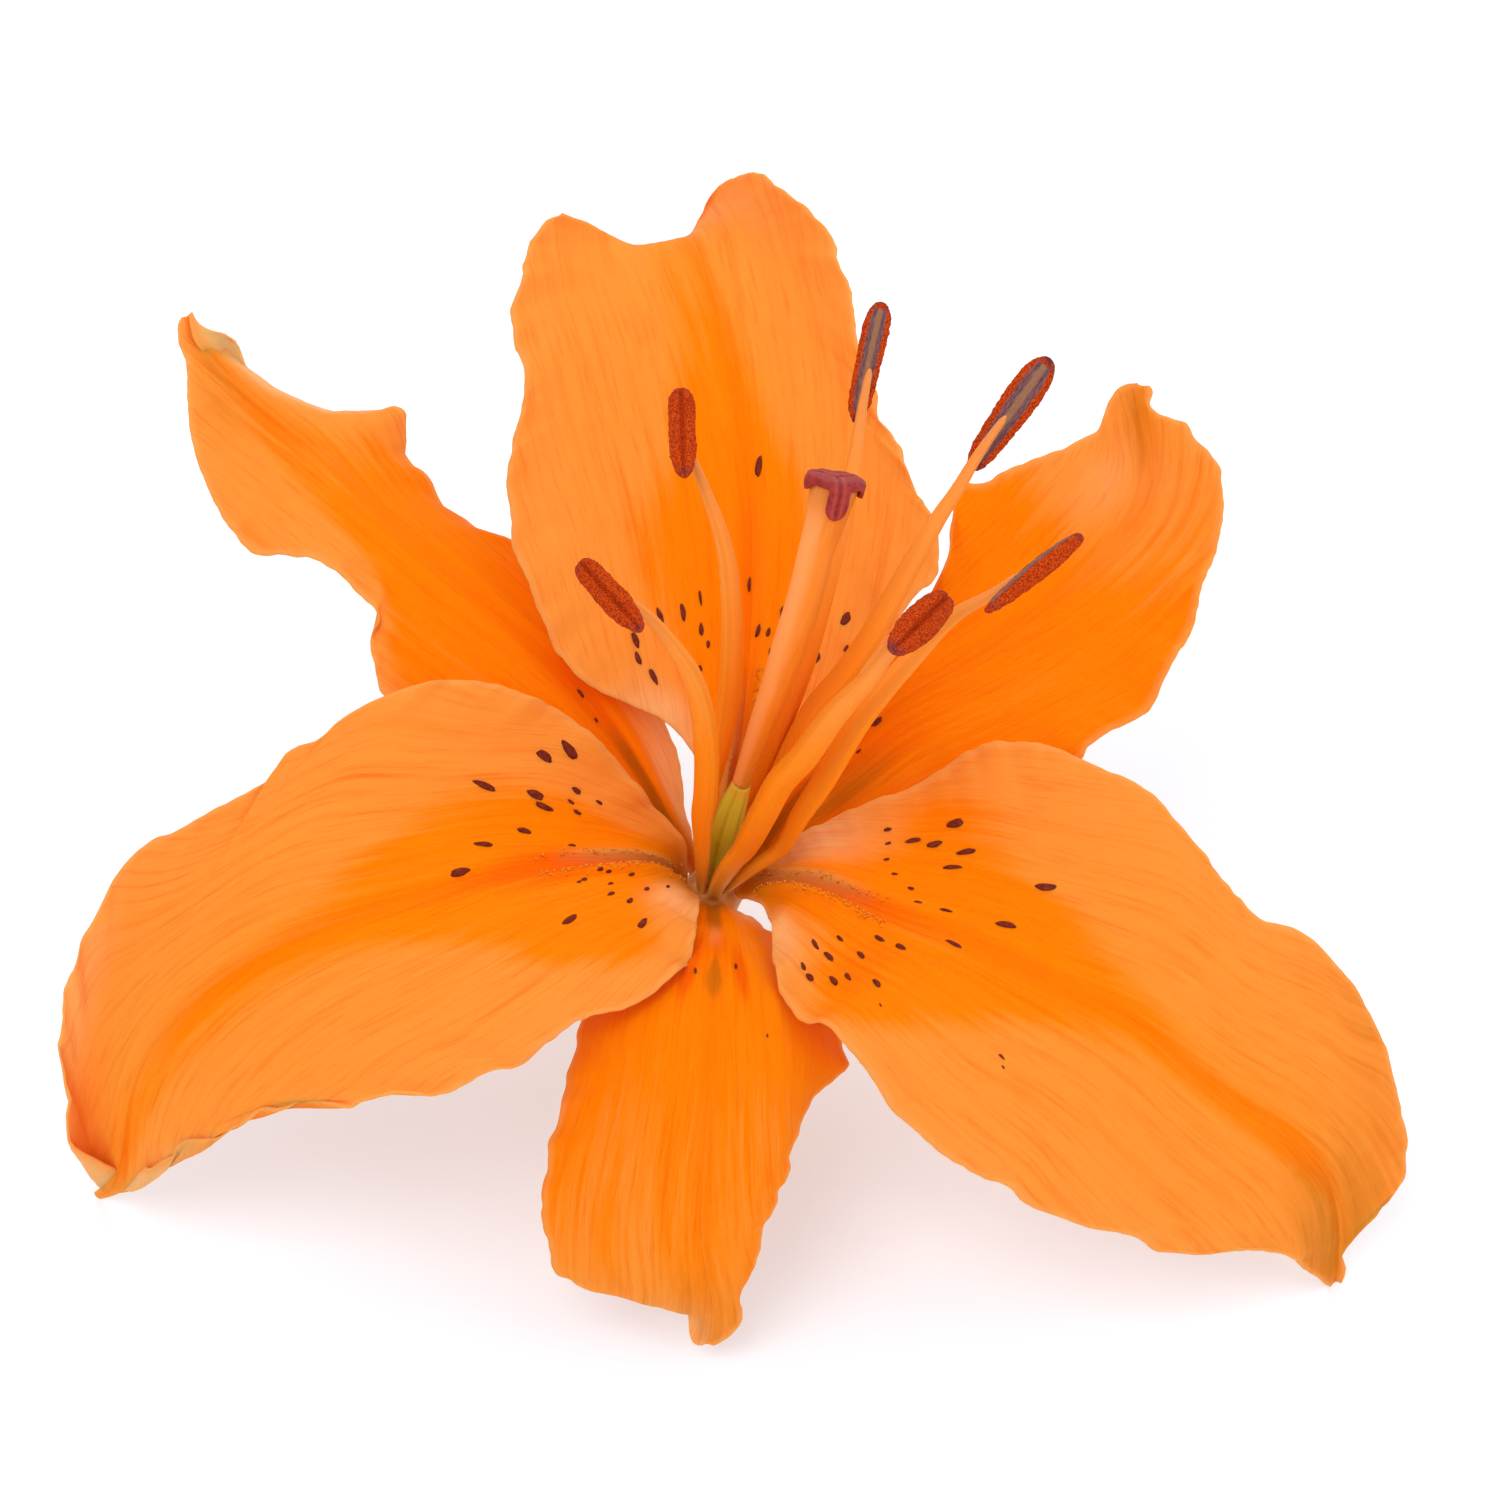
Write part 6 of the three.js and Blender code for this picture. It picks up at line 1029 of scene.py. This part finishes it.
MAT_ANTHER = simple_material("anther_pollen", anther_colour, 0.85, 0.05, 0.0, bump_fn=fine_bump(5200.0, 0.0002, 0.8))


TURNS = {"lower_right": -101.0}          # anthers that hang turned about their own length, degrees


def build_anther(nm, st, index):
    p, q_ = (np.array(r, float) for r in st["anther"])
    along = q_ - p
    L = np.linalg.norm(along)
    T = along / L
    side = norm(np.cross(np.array([0, 0, st["pollen_face"]], float), T))
    turn = math.radians(TURNS.get(nm, 0.0))
    side = side * math.cos(turn) + np.cross(T, side) * math.sin(turn)
    hw = st["half_width"]
    NR, NA = ((120, 76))
    rr = np.linspace(0, 1, NR + 1)
    rings = 0.5 - 0.5 * np.cos(math.pi * rr)
    rings = 0.35 * rings + 0.65 * rr

    # section(): angle 90 degrees points along T x side, which is the pollen face
    def section(s, a):
        end = np.sqrt(max(0.0, 1 - abs(2 * s - 1) ** (5.0 if s < 0.5 else 3.4))) * (1 + 0.05 * math.sin(9 * s + index)) * (1 - 0.16 * max(0.0, s - 0.5) / 0.5)
        end = max(end, 0.03)
        c, d = np.cos(a), np.sin(a)
        x = hw * end * c * (0.93 + 0.07 * np.abs(c))
        y = hw * 0.72 * end * d * (0.72 + 0.28 * np.abs(c) ** 0.5)
        # two thecae: a cleft down the pollen face and a raised strip down the back
        cleft = np.exp(-(c / 0.20) ** 2) * (d > 0)
        y = y - 0.34 * hw * cleft * end * (s > 0.02) * min(1, 12 * s, 12 * (1 - s))
        gap = np.exp(-((np.abs(c) - 0.36) / 0.14) ** 2) * (d < 0)
        y = y + 0.15 * hw * gap * end
        return x * 0.97, y * 0.97

    V, F, A = sweep(nm, [p, p + along * 0.5, q_], rings, NA, side, section, None,
                    extra=lambda s, a: {"back": np.clip((-np.sin(a) - 0.60) / 0.28, 0, 1) * np.clip(min(s, 1 - s) / 0.05 - 0.8, 0, 1), "rib": np.where(np.sin(a) < 0, np.abs(np.cos(a)), 1.0)})
    # pollen grains: displaced by cell noise, strong on the pollen side
    cen = p + np.outer((V - p) @ T, T)
    nrm = norm(V - cen)
    grain = 0.55
    backf = A["back"]
    disp = np.empty(len(V))
    for i, w in enumerate(V):
        c1 = noise.voronoi(Vector(w * 3.1 + index * 7), distance_metric="DISTANCE")[0][0]
        c2 = noise.noise(Vector(w * 1.1 + index * 3))
        c3 = noise.voronoi(Vector(w * 1.3 + index * 5), distance_metric="DISTANCE")[0][0]
        disp[i] = 0.17 * (0.5 - c1) + 0.10 * c2 + 0.12 * (0.5 - c3)
    V = V + nrm * (disp * (1 - 0.7 * backf) * 1.0)[:, None]
    ob = make_object("anther_" + nm + "_pollen", V, fix_outward(V, F), A, None, None, (MAT_ANTHER,))
    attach(ob, "root")
    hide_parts("anther_" + nm)


for i, (nm, st) in enumerate(STAMENS.items()):
    build_filament(nm, st)
    build_anther(nm, st, i)


# ---------------------------------------------------------------- pistil
def ovary_colour(N, pos):
    s = N.attr("s")
    c = N.ramp(s, [(0.0, lin(206, 170, 20)), (0.3, lin(208, 206, 34)), (0.85, lin(214, 216, 60)), (1.0, lin(232, 190, 56))])
    # painted shade: darker olive inside the six grooves
    g = N.smooth(N.attr("groove"), 0.35, 0.9, 0.0, 0.5)
    c = N.mixc(g, c, lin(178, 160, 16))
    return N.mixc(N.smooth(N.noise(pos, 900.0, 3.0), 0.45, 0.7, 0.0, 0.3), c, lin(214, 206, 90))


def style_colour(N, pos):
    s = N.attr("s")
    # the colour darkens at the top end, under the stigma cap: painted shade
    c = N.ramp(s, [(0.0, lin(206, 140, 36)), (0.12, lin(230, 136, 30)), (0.35, lin(240, 132, 26)), (0.8, lin(246, 136, 36)), (0.90, lin(234, 124, 18)), (1.0, lin(208, 108, 10))])
    streak = N.noise(N.combine(N.math("MULTIPLY", N.attr("ang"), 2.0), N.math("MULTIPLY", s, 4.0), 0.0), 1.8, 3.0)
    c = N.mixc(N.smooth(streak, 0.52, 0.75, 0.0, 0.4), c, lin(254, 160, 72))
    c = N.mixc(N.smooth(streak, 0.45, 0.25, 0.0, 0.4), c, lin(226, 108, 20))
    # painted light and shade: the left flank painted lighter (fading towards the top), the right flank painted darker
    shade_side = N.math("ADD", N.math("COSINE", N.attr("ang")), N.math("MULTIPLY", N.math("SUBTRACT", streak, 0.5), 0.6))
    c = N.mixc(N.math("MULTIPLY", N.smooth(shade_side, -0.05, -0.75), N.smooth(s, 0.97, 0.86, 0.25, 0.7)), c, lin(255, 168, 96))
    return N.mixc(N.smooth(shade_side, 0.15, 0.85, 0.0, 0.5), c, lin(220, 116, 12))


def stigma_colour(N, pos):
    n = N.noise(pos, 1500.0, 4.0)
    c = N.ramp(n, [(0.3, lin(130, 22, 28)), (0.6, lin(166, 40, 32)), (0.85, lin(192, 72, 48))])
    # painted highlight: lighter pink along the groove edges; painted shade: darker red inside the grooves
    c = N.mixc(N.math("MULTIPLY", N.attr("lip"), 0.45), c, lin(200, 84, 68))
    return N.mixc(N.smooth(N.attr("groove"), 0.4, 0.9, 0.0, 0.5), c, lin(124, 18, 28))


MAT_OVARY = simple_material("ovary_skin", ovary_colour, 0.36, 0.3, 0.3, bump_fn=fine_bump(2000.0, 0.0001))
MAT_STYLE = simple_material("style_skin", style_colour, 0.42, 0.16, 0.35, bump_fn=fine_bump(2200.0, 0.0001))
MAT_STIGMA = simple_material("stigma_skin", stigma_colour, 0.45, 0.25, 0.1, coat=0.06, bump_fn=fine_bump(3800.0, 0.0002, 0.8))


def organ(node, label, V, F, A, mat):
    ob = make_object(label, V, fix_outward(V, F), A, None, None, (mat,))
    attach(ob, "root")
    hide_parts(node)
    return ob


def ovary_section(s, a):
    r = lerp(0.95, OVARY_RADIUS, s / 0.5) if s < 0.5 else lerp(OVARY_RADIUS, 1.1, ((s - 0.5) / 0.5) ** 2)
    g = np.abs(np.cos(3 * a)) ** 6
    r = r * (1 + 0.05 * np.cos(6 * a) - 0.10 * g * math.sin(math.pi * s))
    return r * np.cos(a), r * np.sin(a)


_o, _s = np.array(OVARY_PATH[-1]), np.array(STYLE_PATH[0])
V, F, A = sweep("ovary", OVARY_PATH[:-1] + [(_o + 0.9 * (_s - _o)).tolist()], np.linspace(0, 1, 48), 48, ACROSS, ovary_section, None,
                extra=lambda s, a: {"groove": np.abs(np.cos(3 * a)) ** 6})
organ("ovary", "ovary_body", V, F, A, MAT_OVARY)


# the style widens under the stigma; its end and the cap sit a little further out than the last path point
flare = pchip([(0, 2.74), (1, 2.74), (2, 2.62), (3, 2.5), (4.5, 2.34), (6.5, 2.18), (9, 2.07)])
CAP_T = norm(np.subtract(STIGMA_AXIS[1], STIGMA_AXIS[0]))
CAP_SIDE = norm(ACROSS - CAP_T * (ACROSS @ CAP_T))
CAP_FACE = np.cross(CAP_T, CAP_SIDE)
CAP_AT = np.array(STIGMA_AXIS[0]) + 0.55 * CAP_T + 0.30 * CAP_SIDE
style_path = [list(r) for r in STYLE_PATH[:-1]] + [CAP_AT.tolist()]
style_path[-2] = (np.array(style_path[-2]) + 0.18 * CAP_SIDE).tolist()
STYLE_LENGTH = float(sum(np.linalg.norm(np.subtract(b_, a_)) for a_, b_ in zip(style_path[:-1], style_path[1:])))


def flare_at(d):
    return float(flare(np.array([d]))[0, 0])


def style_section(s, a):
    depth = (1 - s) * STYLE_LENGTH
    r = flare_at(depth) if depth < 9 else lerp(1.1, flare_at(9.0), s / 0.5)
    r = r * (1 - 0.035 + 0.035 * np.cos(3 * (a + math.pi / 2)))
    return r * np.cos(a), r * np.sin(a)


V, F, A = sweep("style", style_path, np.linspace(0, 1, 110), 48, ACROSS, style_section, None)
organ("style", "style_column", V, F, A, MAT_STYLE)

CAP_GAP = 0.12


def bell(a, d, w, p):
    return math.exp(-abs(math.atan2(math.sin(a - d), math.cos(a - d)) / w) ** p)


def cap_profile(a):
    """Rows (radius, height above the style's end) of the cap, from its underside round to its crown."""
    left, right = bell(a, math.pi * 0.9, 0.62, 4), bell(a, math.pi * 0.1, 0.62, 4)
    lobe = max(left, right)
    notch = max(bell(a, math.pi / 2, 0.5, 2), 0.0)
    drop = 1.05 * left + 1.35 * right
    wall = lambda d: flare_at(max(0.0, d)) + CAP_GAP
    R = 3.02 + 0.34 * lobe - 0.5 * notch
    return [(0.05, CAP_GAP), (1.4, CAP_GAP), (2.4, CAP_GAP), (min(wall(0), R - 0.16), CAP_GAP - 0.02), (min(wall(drop * 0.5), R - 0.08), CAP_GAP - (drop + 0.1) * 0.5), (wall(drop) + 0.02 if lobe > 0.2 else min(wall(0), R) + 0.02, -drop + 0.02),
            (R - 0.03, -drop - 0.08 * lobe), (R + 0.06, -drop * 0.72 + 0.06), (R + 0.10, -drop * 0.3 + 0.22), (R, 0.52),
            (R * 0.88, 0.86), (R * 0.6, 0.98), (R * 0.25, 0.90), (0.02, 0.84)]


def build_stigma():
    p0, T, side, face = CAP_AT, CAP_T, CAP_SIDE, CAP_FACE
    AN, PN = ((180, 104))
    rows = []
    ks = np.linspace(0, 13, PN)
    for k in range(AN):
        f = pchip([(i, r, h) for i, (r, h) in enumerate(cap_profile(2 * math.pi * k / AN))])
        rows.append(f(ks))
    R = np.array(rows)                                  # (angle, row, 2)
    for _ in range(3):
        R[:, 1:-1] = R[:, 1:-1] * 0.5 + 0.25 * (R[:, :-2] + R[:, 2:])
    ang = 2 * np.pi * np.arange(AN) / AN
    dirs = np.outer(np.cos(ang), side) + np.outer(np.sin(ang), face)
    V = p0 + dirs[:, None, :] * R[:, :, :1] + T * R[:, :, 1:]
    # outward normals from neighbouring points
    du = np.roll(V, -1, 0) - np.roll(V, 1, 0)
    dv = np.gradient(V, axis=1)
    n = norm(np.cross(du, dv))
    mid = V.reshape(-1, 3).mean(0)
    if ((n[:, -20] * (V[:, -20] - mid)).sum(-1)).mean() < 0:
        n = -n
    lobes = np.array([-np.pi / 2, np.pi * 0.1, np.pi * 0.9])
    dlt = np.abs(np.angle(np.exp(1j * (ang[:, None] - lobes[None])))).min(1)
    rad = R[:, :, 0]
    outer = np.clip((ks - 6.0) / 1.5, 0, 1)[None]
    groove = np.exp(-(dlt[:, None] * np.maximum(rad, 0.6) / 0.24) ** 2) * outer
    lip = np.exp(-((dlt[:, None] * rad - 0.55) / 0.22) ** 2) * outer
    grit = lambda w: 0.11 * (0.45 - noise.voronoi(w * 4.2)[0][0]) + 0.08 * noise.noise(w * 1.3)
    disp = np.zeros((AN, PN))
    for i in range(AN):
        for j in range(PN):
            disp[i, j] = grit(Vector(V[i, j]))
    disp = disp * outer - 0.12 * groove + 0.05 * lip
    V = V + n * disp[..., None]
    A = {"groove": groove.ravel(), "lip": (lip * outer).ravel(), "s": np.tile(ks / 13, AN)}
    idx = np.arange(AN * PN).reshape(AN, PN)
    nx = np.roll(idx, -1, 0)
    F = np.stack([idx[:, :-1], idx[:, 1:], nx[:, 1:], nx[:, :-1]], -1).reshape(-1, 4).tolist()
    Vf = V.reshape(-1, 3)
    b0, b1 = len(Vf), len(Vf) + 1
    Vf = np.concatenate([Vf, [V[:, 0].mean(0), V[:, -1].mean(0)]])
    for k in A:
        A[k] = np.concatenate([A[k], [A[k][idx[:, 0]].mean(), A[k][idx[:, -1]].mean()]])
    for k in range(AN):
        k2 = (k + 1) % AN
        F.append((b0, int(idx[k, 0]), int(idx[k2, 0])))
        F.append((b1, int(idx[k2, -1]), int(idx[k, -1])))
    F = fix_outward(Vf, F)
    # the front lobe: a round-ended tongue laid down the face of the style
    line = [(0.5, 0.52), (1.5, 0.60), (2.35, 0.56), (2.95, 0.12), (flare_at(0.8) + 0.36, -0.7), (flare_at(1.7) + 0.36, -1.6), (flare_at(2.6) + 0.34, -2.5), (flare_at(3.55) + 0.30, -3.45)]
    path = [p0 - face * r + T * h for r, h in line]
    t_rings = np.concatenate([[0, 0.02, 0.05], np.linspace(0.08, 0.80, 60), 0.80 + 0.2 * np.sin(np.linspace(0.08, 1.0, 26) * math.pi / 2)])

    def section(q, a):
        end = math.sqrt(max(0.0, 1 - ((q - 0.76) / 0.24) ** 2)) if q > 0.76 else min(1.0, 0.35 + 9 * q)
        w = 1.24 * max(end, 0.05)
        x = w * np.cos(a)
        up, down = 0.40 * max(end, 0.12) ** 0.6, 0.24 * max(end, 0.2)
        y = np.where(np.sin(a) > 0, up, down) * np.sin(a)
        y = y - 0.13 * np.exp(-(x / 0.20) ** 2) * (np.sin(a) > 0) * end * (1 if q < 0.86 else max(0.0, (0.98 - q) / 0.12))
        return x, y
    TV, TF, TA = sweep("tongue", path, t_rings, 72, side, section, None,
                       extra=lambda q, a: {"groove": np.exp(-(1.24 * np.cos(a) / 0.22) ** 2) * (np.sin(a) > 0) * min(1.0, max(0.0, (0.95 - q) / 0.1)),
                                           "lip": np.exp(-((1.24 * np.abs(np.cos(a)) - 0.5) / 0.2) ** 2) * (np.sin(a) > 0)})
    cen = TV[:-2].reshape(len(t_rings), -1, 3).mean(1)
    cen = np.concatenate([np.repeat(cen, (len(TV) - 2) // len(t_rings), 0), [TV[-2] + T * 0.1, TV[-1] + T * 0.5]])
    tn = norm(TV - cen + 1e-6)
    TV = TV + tn * np.array([0.7 * grit(Vector(w_)) for w_ in TV])[:, None]
    TF = fix_outward(TV, TF)
    off = len(Vf)
    V2 = np.concatenate([Vf, TV])
    F2 = list(F) + [tuple(i + off for i in f) for f in TF]
    A2 = {k: np.concatenate([A[k], TA[k]]) for k in A}
    ob = make_object("stigma_head", V2, F2, A2, None, None, (MAT_STIGMA,))
    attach(ob, "root")
    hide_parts("stigma")
    return ob


build_stigma()


# ---------------------------------------------------------------- stalk and receptacle
def stalk_colour(N, pos):
    d = N.attr("s")
    c = N.ramp(d, [(0.0, lin(214, 132, 52)), (0.07, lin(206, 134, 60)), (0.13, lin(178, 156, 72)), (0.26, lin(138, 156, 66)), (0.6, lin(112, 142, 58)), (1.0, lin(104, 132, 54))])
    st = N.noise(N.combine(N.math("MULTIPLY", N.attr("ang"), 3.0), N.math("MULTIPLY", d, 6.0), 0.0), 2.0, 4.0)
    c = N.mixc(N.smooth(st, 0.5, 0.75, 0.0, 0.45), c, lin(158, 176, 92))
    c = N.mixc(N.smooth(st, 0.45, 0.25, 0.0, 0.35), c, lin(82, 108, 40))
    cut = N.attr("cut")
    pith = N.ramp(N.noise(pos, 1600.0, 3.0), [(0.35, lin(196, 204, 150)), (0.7, lin(224, 226, 184))])
    return N.mixc(cut, c, pith)


MAT_STALK = simple_material("stalk_skin", stalk_colour, 0.42, 0.4, 0.2, bump_fn=fine_bump(1800.0, 0.00015))
BOSS_TOP = 0.75
prof = np.array([(0, 1.59), (0.15, 1.85), (0.75, 1.95), (1.05, 2.55), (1.35, 3.15), (1.7, 3.62), (2.1, 3.86), (4, 3.63), (5.6, 2.81), (7.5, 2.27), (11, 2.1), (16, 2.1), (21, 2.1), (26, 2.1), (31.36, 2.1), (32, 1.89)])
path = [AXIS * (BOSS_TOP - s * PEDICEL_LENGTH) + UP * PEDICEL_BEND * s * s for s in np.linspace(0, 1, 13)]
dd = np.concatenate([np.linspace(0, 1.65, 8), np.linspace(1.72, 7.5, 26), np.linspace(7.8, 31.2, 60), [31.5, 31.75, 31.9, 31.97, 32.0]])
R_IN = np.array([1, .985, .96, .9, .82])


def stalk_section(s, a):
    d_ = s * PEDICEL_LENGTH
    r = np.interp(d_, prof[:, 0], prof[:, 1])
    if d_ > 31.3:
        r = np.interp(d_, [31.3, 31.75, 32.0], [2.1, 2.02, 1.80])
    lob = 0.045 * np.cos(6 * a) * np.clip((8 - d_) / 5, 0, 1) * (1 if d_ > 1.7 else 0)
    rib = 0.018 * np.cos(9 * a + 0.6 * math.sin(s * 9)) * np.clip((d_ - 5) / 6, 0, 1)
    r = r * (1 + lob + rib - 0.02)
    return r * np.cos(a), r * np.sin(a)


V, F, A = sweep("pedicel", path, dd / PEDICEL_LENGTH, 44, ACROSS, stalk_section, None,
                extra=lambda s, a: {"cut": np.full(len(a), 1.0 if s > 0.9985 else 0.0)})
A["cut"][-2] = 0.0
A["cut"][-1] = 1.0
organ("pedicel", "pedicel_stalk", V, F, A, MAT_STALK)


# ---------------------------------------------------------------- floor, light, camera
me = bpy.data.meshes.new("floor")
w = 3.0
me.from_pydata([(-w, -w, 0), (w, -w, 0), (w, w, 0), (-w, w, 0)], [], [(0, 1, 2, 3)])
floor = bpy.data.objects.new("floor", me)
bpy.context.scene.collection.objects.link(floor)
fm, fnt, fb, fo = node_tree("floor_paper")
FN = NT(fnt)
fpos = FN.n("ShaderNodeTexCoord").outputs["Object"]
FN.link(FN.mixc(FN.smooth(FN.noise(fpos, 60.0, 3.0), 0.3, 0.7, 0.0, 0.25), lin(216, 226, 235), lin(212, 222, 231)), fb.inputs["Base Color"])
fb.inputs["Roughness"].default_value = 0.85
fb.inputs["Specular IOR Level"].default_value = 0.1
fb.inputs["Emission Color"].default_value = (1, 1, 1, 1)
fb.inputs["Emission Strength"].default_value = 0.32
me.materials.append(fm)

sc = bpy.context.scene
world = bpy.data.worlds.new("studio")
world.use_nodes = True
world.node_tree.nodes["Background"].inputs[0].default_value = (1.0, 0.99, 0.98, 1)
world.node_tree.nodes["Background"].inputs[1].default_value = 0.71
sc.world = world


def area(name, loc, target, size, power, colour=(1, 1, 1)):
    L = bpy.data.lights.new(name, "AREA")
    L.shape = "DISK"
    L.size = size
    L.energy = power
    L.color = colour
    o = bpy.data.objects.new(name, L)
    o.location = loc
    o.rotation_euler = (Vector(target) - Vector(loc)).to_track_quat("-Z", "Y").to_euler()
    sc.collection.objects.link(o)
    return o


area("key", (-0.35, -0.55, 0.95), (0, 0, 0.05), 0.7, 4.1)
area("fill", (0.75, -0.35, 0.55), (0, 0, 0.05), 0.8, 1.85)
area("back", (0.1, 0.75, 0.75), (0, 0, 0.05), 0.7, 2.4)

cam = bpy.data.cameras.new("camera")
cam.sensor_fit = "HORIZONTAL"
cam.sensor_width = 36.0
cam.lens = 3968.0 / 1500.0 * 36.0
cam.clip_start = 0.01
cam.clip_end = 20.0
co = bpy.data.objects.new("camera", cam)
sc.collection.objects.link(co)
M = Matrix([list(r) for r in LEAN3]).to_4x4()
M.translation = Vector(to_world(np.array(EYE)).tolist())
co.matrix_world = M
sc.camera = co
sc.view_settings.view_transform = "Standard"
sc.view_settings.look = "None"
sc.view_settings.exposure = 0.0
sc.cycles.use_denoising = True

bpy.context.view_layer.update()
